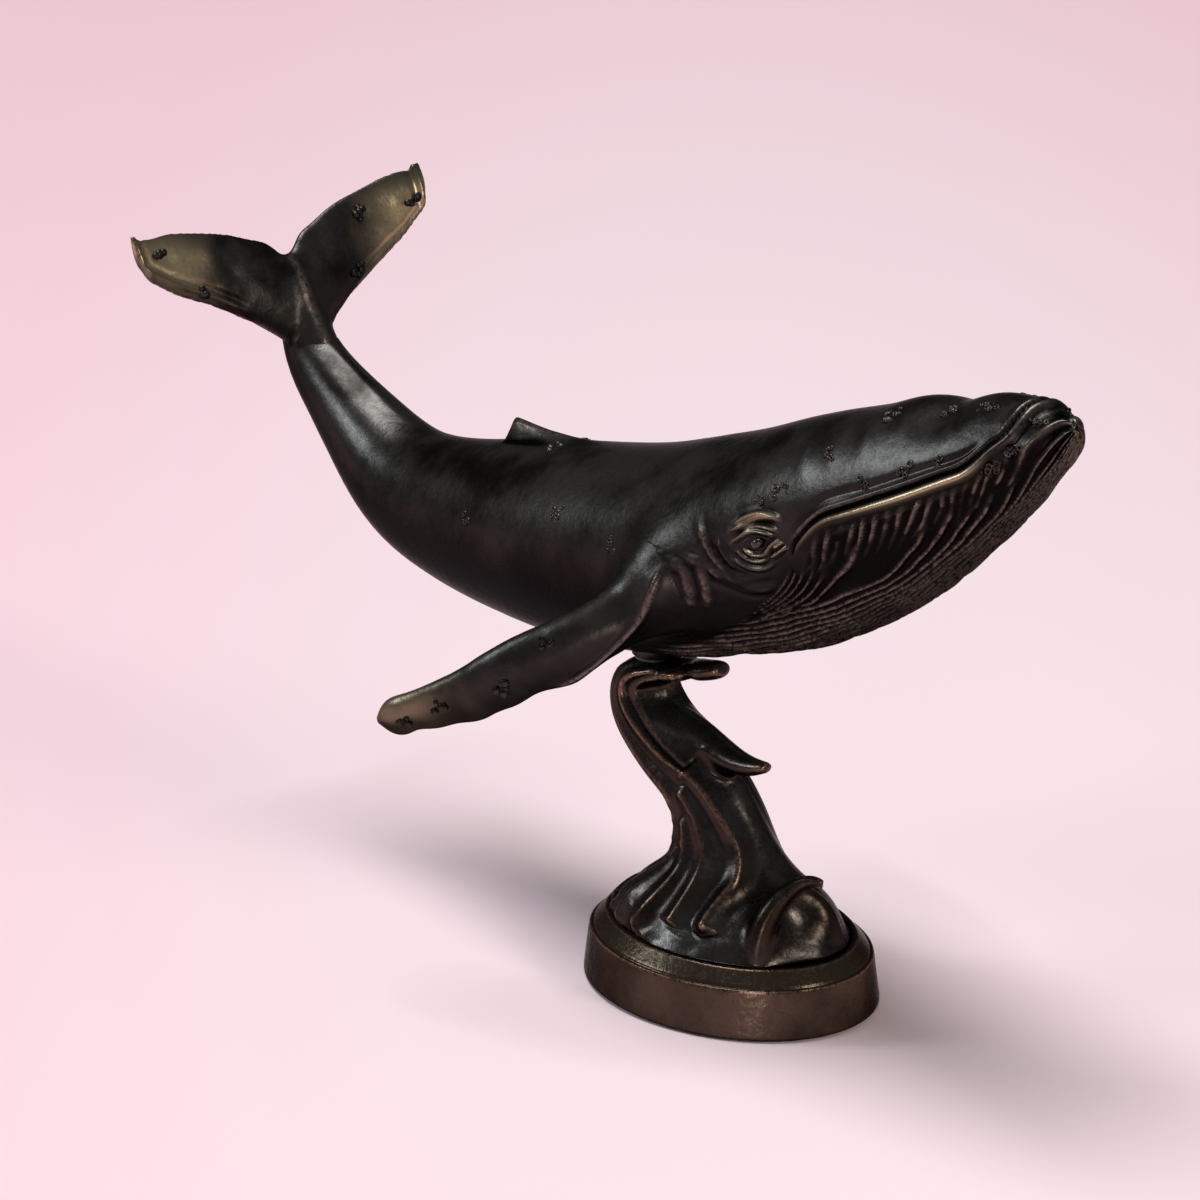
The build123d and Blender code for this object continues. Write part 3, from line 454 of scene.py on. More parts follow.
# Crests between the flutes of the column as (section, angle round the column from the head side),
# then their height in mm. Negative angles are on the whale's right side.
WAVE_CRESTS = [
    ([(12.1, -140), (10.9, -112), (10.1, -94), (9, -84), (7.7, -74), (6.5, -66), (5.2, -60), (4.3, -48),
      (3.7, -41),
      (3.1, -33), (2.6, -29), (2.1, -33), (1.5, -48), (0.7, -62), (-0.4, -69)], 3.8),
    ([(12.6, -105), (11.6, -88), (10.3, -60), (9, -50), (7.9, -46), (6.9, -47), (5.9, -48), (4.6, -46)], 2.4),
    ([(5.0, -84), (4.2, -76), (3.4, -68), (2.9, -65), (2.3, -69), (1.4, -80), (0.1, -88)], 2.0),
    ([(4.2, -94), (2.7, -96), (1.7, -100), (0.7, -106), (-0.4, -112)], 2.0),
    ([(3.3, -110), (2.0, -117), (1.0, -122), (-0.4, -126)], 1.8),
    ([(2.8, -122), (1.6, -131), (0.8, -136), (-0.4, -140)], 1.8),
    ([(11.6, -165), (9.6, -147), (8.2, -116), (6.5, -100), (5.1, -98), (4.2, -108), (3.3, -126), (2, -146),
      (-0.4, -158)],
     2.4),
    ([(12.0, 130), (10.6, 108), (9, 92), (7.6, 80), (6.2, 72), (4.8, 78), (3.4, 92), (1.8, 108),
      (-0.4, 118)], 2.8),
    ([(10.8, 80), (9.6, 55), (8, 48), (6.4, 50), (4.8, 56), (3.4, 66), (2, 80), (0.6, 90), (-0.4, 94)], 2.4),
    ([(10.6, 160), (8.6, 142), (6.8, 136), (5, 146), (3.4, 160), (1.6, 168), (-0.4, 172)], 2.6),
]
FLUTE_WIDTH = 12.0 * MM
CREST_ROUND = 0.45 * MM
# Hollow of the bowl behind that lip: aside, forward and up in mm from its foot.
BOWL_HOLLOW = np.array([(-1.8, 7.0, -3.0), (-1.5, 7.2, 3.0), (-0.2, 7.0, 8.5), (2.6, 6.6, 13.0)]) * MM
BOWL_DEPTH = 2.2 * MM
# Metal round the pin, under the crest.
PIN_BOSS_MIDDLE = np.array([-29.0, 0.0, 68.3]) * MM
PIN_BOSS_HALF = np.array([5.5, 5.5, 6.6]) * MM
# Bright edge inside the breaker's lip: aside, forward and up in mm from its foot.
LIP_EDGE = np.array([
    (-7.4, 10.2, -4.5), (-7.2, 9.9, 1.6), (-6.5, 9.0, 8.2), (-3.8, 8.2, 13.2), (-0.6, 7.8, 16.6),
    (4.6, 8.2, 18.6),
]) * MM


def smooth_curve(knots, rows, at):
    """Natural cubic spline: rows given at the knots, read at other places."""
    knots, rows = np.asarray(knots, float), np.asarray(rows, float)
    gap = np.diff(knots)
    inner = np.arange(1, len(knots) - 1)
    matrix = np.eye(len(knots))
    matrix[inner, inner - 1] = gap[:-1]
    matrix[inner, inner] = 2.0 * (gap[:-1] + gap[1:])
    matrix[inner, inner + 1] = gap[1:]
    bend = np.zeros_like(rows)
    bend[1:-1] = 6.0 * np.diff(np.diff(rows, axis=0) / gap[:, None], axis=0)
    bend = np.linalg.solve(matrix, bend)
    k = np.clip(np.searchsorted(knots, at, side="right") - 1, 0, len(knots) - 2)
    a = ((knots[k + 1] - at) / gap[k])[:, None]
    b = 1.0 - a
    bow = ((a**3 - a) * bend[k] + (b**3 - b) * bend[k + 1]) * (gap[k] ** 2)[:, None] / 6.0
    return a * rows[k] + b * rows[k + 1] + bow


def smooth_run(stops, count):
    """A smooth run of so many points through a few stops, evenly by stop."""
    return smooth_curve(np.arange(len(stops)), stops, np.linspace(0, len(stops) - 1, count))


def unit(vectors):
    """Vectors brought to length 1 along the last axis."""
    return vectors / np.maximum(np.linalg.norm(vectors, axis=-1, keepdims=True), 1e-12)


column_rows = COLUMN_SECTIONS * np.array([-CREST_REACH, WAVE_HEIGHT, COLUMN_HALF, COLUMN_HALF])
column_rows[:, 1] += WAVE_FOOT_Z
column_knots = np.arange(len(column_rows)) + FIRST_COLUMN_SECTION


def column_point(section, turn):
    """Point on the column's plain skin: its middle, plus half sizes by cos and sin of the turn.

    The swell pushes the skirt out by a share that falls off with the turn and the section.
    """
    x, z, depth, width = smooth_curve(column_knots, column_rows, section).T
    ahead = smooth_curve(column_knots, column_rows, section + 0.02)
    behind = smooth_curve(column_knots, column_rows, section - 0.02)
    along = unit((ahead - behind)[:, :2])
    away = np.angle(np.exp(1j * (turn - SWELL_TURN)))
    swell = 1.0 + SWELL_SHARE * bell(away, SWELL_SPREAD) * bell(section - SWELL_SECTION, 1.1)
    front = swell * depth * np.cos(turn)
    return np.stack([x + along[:, 1] * front, swell * width * np.sin(turn), z - along[:, 0] * front], axis=-1)


def grid_of(surface, first, second):
    """A surface function of two parameters, worked out on the grid of both."""
    a, b = np.meshgrid(first, second, indexing="ij")
    return surface(a.ravel(), b.ravel()).reshape(len(first), len(second), 3)


def horn_grid(base, rows, count):
    """A curl towards the head: rounded sections along a path, from rows of reach, height, depth and width."""
    path = smooth_run(rows, count)
    middle = np.array(base) + path[:, :2] @ np.array([(1.0, 0.0, 0.0), (0.0, 0.0, 1.0)])
    across = np.array([0.0, 1.0, 0.0])
    out = unit(np.cross(across, unit(np.gradient(middle, axis=0))))
    turn = np.linspace(0.0, 2.0 * np.pi, 64, endpoint=False)
    depth = path[:, 2, None, None] * np.sin(turn)[:, None] * out[:, None, :]
    width = path[:, 3, None, None] * np.cos(turn)[:, None] * across
    return middle[:, None, :] + depth + width


def rope_grid(middle, radius, around=24):
    """A round rope along a path: circles of a radius square to the path."""
    along = unit(np.gradient(middle, axis=0))
    side = unit(np.cross(along, np.array(BREAKER_FORWARD)))
    over = np.cross(along, side)
    turn = np.linspace(0.0, 2.0 * np.pi, around, endpoint=False)[:, None]
    ring = np.cos(turn) * side[:, None, :] + np.sin(turn) * over[:, None, :]
    return middle[:, None, :] + radius[:, None, None] * ring


def ball_grid(middle, half_sizes, axes):
    """A ball stretched to three half sizes along three axes."""
    tilt = np.linspace(-np.pi / 2 + 0.03, np.pi / 2 - 0.03, 48)[:, None]
    turn = np.linspace(0.0, 2.0 * np.pi, 72, endpoint=False)[None, :]
    sides = [np.cos(tilt) * np.cos(turn), np.cos(tilt) * np.sin(turn), np.sin(tilt) + 0.0 * turn]
    ball = np.stack(sides, axis=-1)
    return middle + (ball * half_sizes) @ axes


def fuse(mesh, voxel, rounds):
    """Overlapping shells made one skin: filled with small cubes, skinned again and smoothed."""
    carrier = bpy.data.objects.new("fusing", mesh)
    bpy.context.scene.collection.objects.link(carrier)
    remesh = carrier.modifiers.new("skin", "REMESH")
    remesh.mode = "VOXEL"
    remesh.voxel_size = voxel
    depsgraph = bpy.context.evaluated_depsgraph_get()
    fused = bpy.data.meshes.new_from_object(carrier.evaluated_get(depsgraph))
    fused.name = mesh.name
    bpy.data.objects.remove(carrier)
    bpy.data.meshes.remove(mesh)
    fused.polygons.foreach_set("use_smooth", np.ones(len(fused.polygons), bool))
    set_points(fused, eased_points(fused, points_of(fused)[0], rounds))
    return fused


def fill_corners(mesh, rounds):
    """Fillets where shells meet: points go out towards their neighbours' mean, and never in."""
    for _ in range(rounds):
        points, normals = points_of(mesh)
        out = ((eased_points(mesh, points, 3) - points) * normals).sum(axis=1)
        set_points(mesh, points + normals * np.maximum(out, 0.0)[:, None])


def off_line(points, line):
    """Distance of each point from a bent line, and how far along the line its nearest place is, 0 to 1."""
    steps = np.linalg.norm(np.diff(line, axis=0), axis=1)
    start = np.concatenate([[0.0], np.cumsum(steps)])
    gap = np.full(len(points), 1.0)
    along = np.zeros(len(points))
    low, high = line.min(axis=0) - 14 * MM, line.max(axis=0) + 14 * MM
    close = np.flatnonzero(((points > low) & (points < high)).all(axis=1))
    for i in range(len(line) - 1):
        way = line[i + 1] - line[i]
        share = np.clip((points[close] - line[i]) @ way / (way @ way), 0.0, 1.0)
        reach = np.linalg.norm(points[close] - line[i] - share[:, None] * way, axis=1)
        better = reach < gap[close]
        gap[close[better]] = reach[better]
        along[close[better]] = (start[i] + share[better] * steps[i]) / start[-1]
    return gap, along


def drawn(surface, stops, count=48):
    """A line drawn on a surface: a smooth run through stops of (place, angle in degrees)."""
    stops = np.array(stops, float)
    reach = np.concatenate([[0.0], np.cumsum(np.linalg.norm(np.diff(stops, axis=0) / [1.0, 12.0], axis=1))])
    run = smooth_curve(reach, stops, np.linspace(0.0, reach[-1], count))
    return surface(run[:, 0], np.radians(run[:, 1]))


def flutes(points, crests):
    """Lift of concave flutes between crest lines of their own heights.

    With the distances to the nearest crest and to the next one, the share of the way across the flute is
    nearest / (nearest + next), at most a half. The lift is height * (1 - 2 * share) to the power 1.8, less
    a part of the height all round, so that flutes sink as much as crests rise. The height is a mean of the
    crests' heights, each counted by 1 / distance to the fourth power.
    """
    gaps, heights = [], []
    for line, height in crests:
        gap, along = off_line(points, line)
        gaps.append(gap + (1.0 - ramp(along, 0.0, 0.12) * ramp(along, 1.0, 0.94)) * FLUTE_WIDTH)
        heights.append(height * MM)
    near, next_near = np.sort(gaps, axis=0)[:2]
    closeness = 1.0 / (np.array(gaps) ** 2 + CREST_ROUND**2) ** 2
    height = np.array(heights) @ closeness / closeness.sum(axis=0)
    height *= np.clip((near + next_near) / FLUTE_WIDTH, 0.35, 1.0)
    from_crest = np.sqrt(near**2 + CREST_ROUND**2) - CREST_ROUND
    share = np.clip(from_crest / np.minimum(near + next_near, FLUTE_WIDTH), 0.0, 0.5)
    return height * ((1.0 - 2.0 * share) ** 1.8 - 0.5 * bell(near, 0.7 * FLUTE_WIDTH))


curl_rows = CURL_SECTIONS * np.array([CURL_REACH, WAVE_HEIGHT, COLUMN_HALF, COLUMN_HALF])
lip_run = smooth_run(BREAKER_LIP, 60)
facing = np.array([BREAKER_ASIDE, BREAKER_FORWARD, (0.0, 0.0, 1.0)])
column_sections = np.linspace(FIRST_COLUMN_SECTION, 14, 270)
wave_shells = [
    grid_of(column_point, column_sections, np.linspace(0, 2 * np.pi, 160, endpoint=False)),
    horn_grid((-CURL_ROOT, 0.0, WAVE_FOOT_Z), curl_rows, 90),
    ball_grid(BREAKER_FOOT + BREAKER_BOWL_MIDDLE @ facing, BREAKER_BOWL_HALF, facing),
    ball_grid(PIN_BOSS_MIDDLE, PIN_BOSS_HALF, np.eye(3)),
    rope_grid(BREAKER_FOOT + lip_run[:, :3] @ facing, lip_run[:, 3]),
]
wave_mesh = fuse(cast_mesh("wave_casting", wave_shells), WAVE_VOXEL, 4)
fill_corners(wave_mesh, 18)
wave_points, wave_normals = points_of(wave_mesh)
wave_normals = unit(eased_points(wave_mesh, wave_normals, 6))
crest_lines = [(drawn(column_point, stops, 90), height) for stops, height in WAVE_CRESTS]
lip_edge_gap = off_line(wave_points, BREAKER_FOOT + smooth_run(LIP_EDGE, 60) @ facing)[0]
off_breaker = ramp(lip_edge_gap, 3 * MM, 9 * MM)
foot_crumple = ramp(wave_points[:, 2], 23 * MM, 18.5 * MM)
wave_lift = flutes(wave_points, crest_lines) * off_breaker + 1.0 * MM * bell(lip_edge_gap, 0.8 * MM)
bowl_gap = off_line(wave_points, BREAKER_FOOT + smooth_run(BOWL_HOLLOW, 40) @ facing)[0]
wave_lift -= BOWL_DEPTH * bell(bowl_gap, 5.4 * MM)
wave_lift += 0.25 * MM * foot_crumple * mottle(wave_points, 4.5 * MM, 21)
wave_lift += 0.12 * MM * mottle(wave_points, 7.0 * MM, 22)
under_belly = ramp(wave_points[:, 2], 75.0 * MM, 78.0 * MM) * ramp(wave_normals[:, 2], 0.1, 0.6)
wave_lift = np.minimum(wave_lift, 0.0) + np.maximum(wave_lift, 0.0) * (1.0 - under_belly)
wave_points = wave_points + wave_normals * wave_lift[:, None]
at_pin = np.hypot(wave_points[:, 0] + CREST_REACH, wave_points[:, 1]) < CREST_SEAT_RADIUS
wave_points[at_pin, 2] = np.minimum(wave_points[at_pin, 2], CREST_Z)
wave_points = eased_points(wave_mesh, wave_points, 1)
wave_points[:, 2] = np.maximum(wave_points[:, 2], WAVE_FOOT_Z)
set_points(wave_mesh, wave_points)
weather(wave_mesh, proud_of(wave_mesh, 7) / (0.26 * MM), 0.0, 0.0)
wave_bronze = bronze(
    "wave_bronze", deep=(0.022, 0.016, 0.012), brown=(0.050, 0.036, 0.028), copper=(0.20, 0.125, 0.085),
    painted_top_light=(0.065, 0.066, 0.064), relief=0.10 * MM, gloss=(0.20, 0.32),
)
bronze_piece("wave_casting", wave_mesh, wave_bronze, "stand", "wave_bronze", "wave_pedestal")


# Whale body
# A hollow bronze casting: the whale from its tail stock to the snout with the dorsal fin, the
# pleated throat, the mouth line and the folds round the eye, chased by hand after casting.
PIN_X = -CREST_REACH
SPINE_Z = 108.3 * MM
BODY_LENGTH = 291.4 * MM
BODY_HALF = 27.0 * MM
SNOUT_PLACE = 329.2 * MM
# Along the body and rise of the middle line as shares of the length, from the swivel pin. Back,
# belly and flank as shares of half the depth.
BODY_SECTIONS = np.array([
    (-0.504, 0.129, 0.126, 0.126, 0.222), (-0.494, 0.098, 0.196, 0.200, 0.244),
    (-0.479, 0.064, 0.274, 0.281, 0.274),
    (-0.443, 0.032, 0.363, 0.370, 0.333), (-0.391, -0.001, 0.478, 0.485, 0.437),
    (-0.340, -0.026, 0.578, 0.585, 0.533),
    (-0.261, -0.035, 0.711, 0.726, 0.681), (-0.172, -0.028, 0.837, 0.859, 0.822),
    (-0.062, -0.014, 0.933, 0.956, 0.941),
    (0.058, 0.013, 0.978, 0.993, 0.985), (0.113, 0.031, 0.985, 1.000, 0.996),
    (0.165, 0.049, 0.985, 1.007, 0.993),
    (0.225, 0.077, 0.952, 0.993, 0.948), (0.309, 0.120, 0.837, 0.881, 0.822),
    (0.367, 0.151, 0.700, 0.704, 0.689),
    (0.417, 0.179, 0.548, 0.533, 0.556), (0.460, 0.203, 0.393, 0.356, 0.407),
    (0.484, 0.215, 0.252, 0.215, 0.267),
    (0.496, 0.221, 0.119, 0.096, 0.126),
])
body_rows = BODY_SECTIONS * np.array([BODY_LENGTH, BODY_LENGTH, BODY_HALF, BODY_HALF, BODY_HALF])
body_rows[:, 0] += PIN_X
body_rows[:, 1] += SPINE_Z
body_places = np.concatenate([[0.0], np.cumsum(np.linalg.norm(np.diff(body_rows[:, :2], axis=0), axis=1))])
# Seam with the flukes (mm), then how many rows of the skin lie between which places, and columns
# between which angles.
SEAM_PLACE = 20.3
SKIN_ROWS = [
    (SEAM_PLACE, 20.5, 3), (20.5, 106, 26), (106, 126, 20), (126, 172, 16), (172, 226, 46), (226, 252, 76),
    (252, 318, 96), (318, 329, 24),
]
SKIN_COLUMNS = [(-90, -60, 30), (-60, -16, 54), (-16, 17, 48), (17, 76, 16), (76, 90, 8)]
# Lines on the body as (place in mm, angle round it in degrees: 0 flank, 90 back, -90 belly).
MOUTH = [(246.5, -15), (249.4, -8.2), (253, -3.7), (256.6, -0.5), (261, 2), (266.3, 2.2), (276.2, 1.5),
         (290.8, 0),
         (299.4, -1), (305.3, -0.5), (313.1, 13.5), (318.2, 32.5), (320.3, 70), (321.2, 90)]
LIP_CREASE = [(248.5, -6), (253.5, 2), (257.8, 6.5), (262, 10.5), (267.3, 11.5), (277, 10.2), (287, 10),
              (300, 9.2),
              (309, 13), (315, 26)]
PLEAT_TOP = [(160, -58), (180, -52), (205, -44), (225, -33), (246.5, -15)]
# A pleat leaves the lip at its own place and bends down to its own angle along the belly.
PLEAT_REST = [
    (246, -34), (262, -39), (277, -43.5), (296, -48), (303, -54), (313, -61), (320, -65), (331, -70),
    (372, -90),
]
PLEAT_BEND = 10.5
PLEAT_PITCH = 4.4
CRINKLE_PITCH = 4.3
EYE = (238.8, -0.6)
EYE_SOCKET_DEPTH = 1.1
ROSTRUM_BUMPS = (256.5, 266.0, 275.5)
KEEL_HEIGHT = 0.9
FIN_HEIGHT = 5.9
# Brow, lids, bags and crinkles round the eye: the line, ridge height and half width in mm, gold.
EYE_FOLDS = [
    ([(231.5, 11.5), (233.8, 13.5), (237.8, 14.8), (242.0, 14.0), (245.3, 11.2),
      (249.5, 7.0)], 0.80, 0.75, 0.8),
    ([(229.0, 10.3), (231.1, 10.8), (234.7, 11.0), (238.5, 11.8), (241.9, 11.4),
      (246.5, 8.0)], 0.60, 0.50, 0.35),
    ([(233.0, 6.5), (235.4, 8.2), (238.7, 9.0), (241.4, 7.5), (243.9, 5.2), (247.5, 1.6)], 0.60, 0.45, 0.55),
    ([(229.0, 3.2), (231.0, 4.8), (234.0, 6.0), (236.8, 6.8), (239.6, 6.0), (242.0, 3.8),
      (245.5, 0.2)], 0.65, 0.45, 0.45),
    ([(233.5, 0.5), (234.4, -1.6), (235.2, -3.4), (237.1, -5.8), (239.4, -6.8),
      (242.4, -5.4)], 0.70, 0.45, 0.6),
    ([(230.8, 0.5), (232.1, -1.6), (233.5, -4.8), (235.2, -7.5), (237.2, -9.2),
      (241.0, -9.0)], 0.45, 0.45, 0.3),
    ([(228.3, 1.0), (229.3, -2.4), (231.0, -6.2), (233.1, -9.8), (235.8, -12.6), (239.6, -13.4),
      (244.0, -10.8)], 0.45, 0.55, 0.1),
    ([(239.9, -6.8), (240.8, -5.8), (242.5, -4.0), (244.2, -3.0), (246.8, -2.6)], 0.80, 0.42, 1.0),
    ([(241.0, -9.6), (243.4, -8.8), (245.3, -8.0), (248.2, -6.6)], 0.80, 0.42, 1.0),
    ([(242.8, -5.4), (245.2, -4.8), (247.6, -4.0)], 0.50, 0.35, 0.8),
]
# Soft folds behind the eye and round the shoulder: the line, height and half width in mm.
NECK_FOLDS = [
    ([(217.0, 24.0), (219.4, 17.2), (221.1, 9.5), (222.6, 1.2), (224.5, -5.8), (227.3, -12.5),
      (230.8, -17.0), (237.0, -20.5)],
     0.55, 1.0),
    ([(217.5, 10.0), (218.8, 3.5), (220.5, -3.7), (222.8, -9.5), (225.8, -14.0), (228.4, -18.8),
      (232.1, -22.5), (241.0, -25.5)],
     0.55, 1.0),
    ([(225.4, 10.0), (226.1, 6.0), (226.8, 1.2), (228.3, -5.2), (230.4, -10.0)], 0.40, 0.90),
    ([(213.0, 6.0), (216.0, 0.8), (218.2, -6.0), (217.6, -13.0), (213.0, -24.0)], 0.50, 1.0),
    ([(208.6, 4.0), (211.6, -0.6), (213.6, -7.0), (213.0, -13.4), (209.0, -23.0)], 0.45, 0.95),
]


def body_point(place, turn):
    """Point on the plain body: middle line, plus back or belly by sin and flank by cos of the turn.

    The rostrum is drawn in above the mouth, and the snout is rounded off past the last section.
    """
    x, z, back, belly, flank = smooth_curve(body_places, body_rows, np.minimum(place, body_places[-1])).T
    over = np.maximum(place - body_places[-1], 0.0)
    round_off = np.sqrt(np.clip(1.0 - over / (SNOUT_PLACE - body_places[-1]), 0.0, 1.0))
    ahead = smooth_curve(body_places, body_rows, place + 0.05 * MM)
    behind = smooth_curve(body_places, body_rows, place - 0.05 * MM)
    along = unit((ahead - behind)[:, :2])
    rise = np.where(np.sin(turn) > 0, back, belly) * np.sin(turn) * round_off
    draw_in = 1.0 - 0.14 * ramp(place, 250 * MM, 300 * MM) * np.maximum(np.sin(turn), 0.0) ** 1.2
    side = -flank * np.cos(turn) * round_off * draw_in
    ahead_x = along[:, 0] * over - along[:, 1] * rise
    ahead_z = along[:, 1] * over + along[:, 0] * rise
    return np.stack([x + ahead_x, side, z + ahead_z], axis=-1)


def on_body(place, turn):
    """The same point with the place in millimetres, for the listed lines."""
    return body_point(place * MM, turn)


def chased(points, stops, height, width):
    """A chased fold: a ridge along a line with a shallower groove on both sides, and its crest alone."""
    gap, along = off_line(points, drawn(on_body, stops))
    fade = ramp(along, 0.0, 0.25) * ramp(along, 1.0, 0.72)
    crest = fade * bell(gap / MM, width)
    return height * (crest - 0.55 * fade * bell(gap / MM - 1.9 * width, 0.8 * width)), crest


skin_places = np.concatenate([np.linspace(a, b, n, endpoint=False) for a, b, n in SKIN_ROWS] + [[329.0]])
half_turn = np.concatenate([np.linspace(a, b, n, endpoint=False) for a, b, n in SKIN_COLUMNS])
skin_turns = np.concatenate([half_turn, [90.0], 180.0 - half_turn[:0:-1]])
skin = grid_of(body_point, skin_places * MM, np.radians(skin_turns))
place_of = np.repeat(skin_places, len(skin_turns))
angle_of = np.tile(np.where(skin_turns > 90.0, 180.0 - skin_turns, skin_turns), len(skin_places))
body_mesh = cast_mesh("whale_skin", [skin])
skin_points, skin_normals = (part[:-2] for part in points_of(body_mesh))
right_points = skin_points * np.array([1.0, 0.0, 1.0]) - np.abs(skin_points) * np.array([0.0, 1.0, 0.0])

# Mouth: a thin upper lip, a groove and a rounded gilt lower lip, by signed distance from its line.
mouth_gap, mouth_along = off_line(right_points, drawn(on_body, MOUTH, 140))
mouth_place, mouth_turn = np.array(MOUTH).T
mouth_angle = np.interp(place_of, mouth_place, mouth_turn)
in_jaw = (place_of > mouth_place[0]) & ((angle_of < mouth_angle) | (place_of > mouth_place[-1]))
mouth_side = np.where(in_jaw, -mouth_gap, mouth_gap) / MM
mouth_fade = ramp(mouth_along, 0.0, 0.05)
lip_fade = ramp(mouth_along, 0.02, 0.22)
lip_width = 0.45 + 0.65 * ramp(mouth_along, 0.05, 0.5)
lower_lip = bell(mouth_side + 0.5 + 1.1 * lip_width, lip_width) * lip_fade
crease_gap = off_line(right_points, drawn(on_body, LIP_CREASE, 90))[0] / MM
lift = (0.45 * bell(mouth_side - 1.3, 0.70) - 1.1 * bell(mouth_side, 0.50)) * mouth_fade
lift += 0.75 * lower_lip - 0.45 * bell(crease_gap, 0.95) - 0.40 * bell(mouth_side + 3.8, 0.7) * lip_fade


# Throat pleats: every place on the throat belongs to the pleat that left the lip at some place.
def pleat_angle(place, start):
    """Angle of a pleat: from the lip's angle it bends as 1 - exp(-way back / bend) to its rest."""
    way = np.maximum(start - place, 0.0)
    lip = np.interp(start, mouth_place, mouth_turn)
    rest = np.interp(start, *np.array(PLEAT_REST).T)
    drift = 0.2 * np.maximum(way - 30.0, 0.0) * (1.0 - ramp(start, 315.0, 372.0))
    return lip + (rest - lip) * (1.0 - np.exp(-way / PLEAT_BEND)) + drift


pleat_starts = np.linspace(246.5, 372.0, 160)
pleat_turns = np.minimum.accumulate(pleat_angle(mouth_place[0], pleat_starts)) / PLEAT_PITCH
sway = 0.40 * mottle(right_points, 14 * MM, 31) + 0.12 * mottle(right_points, 5 * MM, 32)
pleat_start = np.empty(len(skin_points))
for place in skin_places:
    row = place_of == place
    started = pleat_starts[pleat_starts >= min(place, 371.0)]
    downwards = np.minimum.accumulate(pleat_angle(place, started))
    pleat_start[row] = np.interp(-angle_of[row], -downwards, started)
pleat_count = np.interp(pleat_start, pleat_starts, pleat_turns) + sway
pleat_crest = bell(np.sin(np.pi * pleat_count), 0.58)
crinkle = bell(np.sin(np.pi * (pleat_start / CRINKLE_PITCH + 1.6 * sway)), 0.55)
pleat_top = np.interp(place_of, *np.array(PLEAT_TOP).T)
pleat_zone = np.where(
    place_of > mouth_place[0], ramp(mouth_side, -2.4, -6.5) * in_jaw, ramp(angle_of - pleat_top, 0.0, -9.0)
) * ramp(place_of, 166, 200)
near_lip = ramp(place_of, 246, 258) * ramp(place_of, 322, 308) * ramp(mouth_side, -14.0, -7.5) * in_jaw
crumple = 0.75 * mottle(right_points, 3.4 * MM, 33) + 0.4 * mottle(right_points, 1.7 * MM, 37)
broken = np.clip(0.55 + crumple, 0.0, 1.3)
pleat_ridge = (1.0 - near_lip) * pleat_crest * (1.0 + 0.3 * mottle(right_points, 9 * MM, 36))
pleat_ridge += near_lip * crinkle * broken
lift += pleat_zone * (1.25 * pleat_ridge - 0.70 + 0.25 * near_lip)

# Eye: an almond socket with chased lids, brow and crinkles round it.
eye_ahead = place_of - EYE[0]
eye_over = np.radians(angle_of - EYE[1]) * BODY_HALF / MM
eye_gap = np.hypot(eye_ahead / 1.6, eye_over)
lift -= EYE_SOCKET_DEPTH * bell(eye_gap, 1.9)
lid_gilt = np.zeros(len(skin_points))
for fold_stops, fold_height, fold_width, fold_gold in EYE_FOLDS:
    fold_lift, fold_crest = chased(right_points, fold_stops, fold_height, fold_width)
    lift += fold_lift
    lid_gilt = np.maximum(lid_gilt, fold_gold * fold_crest)
for fold_stops, fold_height, fold_width in NECK_FOLDS:
    lift += chased(right_points, fold_stops, fold_height, fold_width)[0]

# Shoulder, muscles, keel of the tail stock, bumps of the rostrum and the dorsal fin.
arc_over = np.radians(angle_of) * BODY_HALF / MM
lift += 1.2 * bell(place_of - 200, 13) * bell(arc_over + 5, 9)
lift += 0.35 * mottle(right_points, 26 * MM, 34) + 0.05 * mottle(right_points, 8 * MM, 35)
on_top = ramp(angle_of, 25, 60)
rostrum = bell(place_of - 283, 9) - 0.7 * bell(place_of - 297, 5) + 0.9 * bell(place_of - 309, 7)
lift += on_top * rostrum
for bump_place in ROSTRUM_BUMPS:
    lift += 0.55 * bell(place_of - bump_place, 3.2) * bell(angle_of - 45, 16)
from_keel = np.abs(skin_points[:, 1]) / MM
lift += KEEL_HEIGHT * bell(from_keel, 2.2) * (angle_of > 0) * ramp(place_of, 80, 34)
fin_rise = ramp(place_of, 110.5, 117.5) * np.clip((152.0 - place_of) / 34.0, 0.0, 1.0) ** 1.5
lift += FIN_HEIGHT * fin_rise * bell(from_keel, 1.3 + 2.2 * ramp(place_of, 118, 150)) * (angle_of > 40)
lift *= ramp(place_of, SEAM_PLACE, 26.0)
body_points = skin_points + skin_normals * (lift * MM)[:, None]
ends = [body_points[:len(skin_turns)].mean(axis=0), body_points[-len(skin_turns):].mean(axis=0)]
set_points(body_mesh, np.concatenate([body_points, ends]))
body_lift = np.append(lift, [0.0, 0.0])
body_stand = (body_lift - eased_points(body_mesh, body_lift[:, None], 12)[:, 0]) / 0.50
body_stand[:-2] += pleat_zone * (1.1 * pleat_ridge - 0.75)
lip_gilt = 0.9 * lower_lip * ramp(mouth_along, 0.80, 0.66)
body_gilt = np.maximum(np.maximum(lip_gilt, lid_gilt), 0.22 * near_lip * pleat_zone * crinkle * broken)
# Painted shade: the belly and the lower flank painted near black, less so by the lip.
body_painted_shade = 0.9 * ramp(angle_of, -14, -55) * ramp(place_of, 40, 110) * (1.0 - 0.7 * near_lip)
weather(body_mesh, body_stand, np.append(body_gilt, [0.0, 0.0]), np.append(body_painted_shade, [0.0, 0.0]))
whale_bronze = bronze(
    "whale_bronze", deep=(0.014, 0.0129, 0.0117), brown=(0.029, 0.0262, 0.0236), copper=(0.13, 0.106, 0.088),
    painted_top_light=(0.072, 0.070, 0.066), relief=0.11 * MM, gloss=(0.28, 0.35),
)
bronze_piece("whale_skin", body_mesh, whale_bronze, "whale", "whale_bronze", "whale_body")


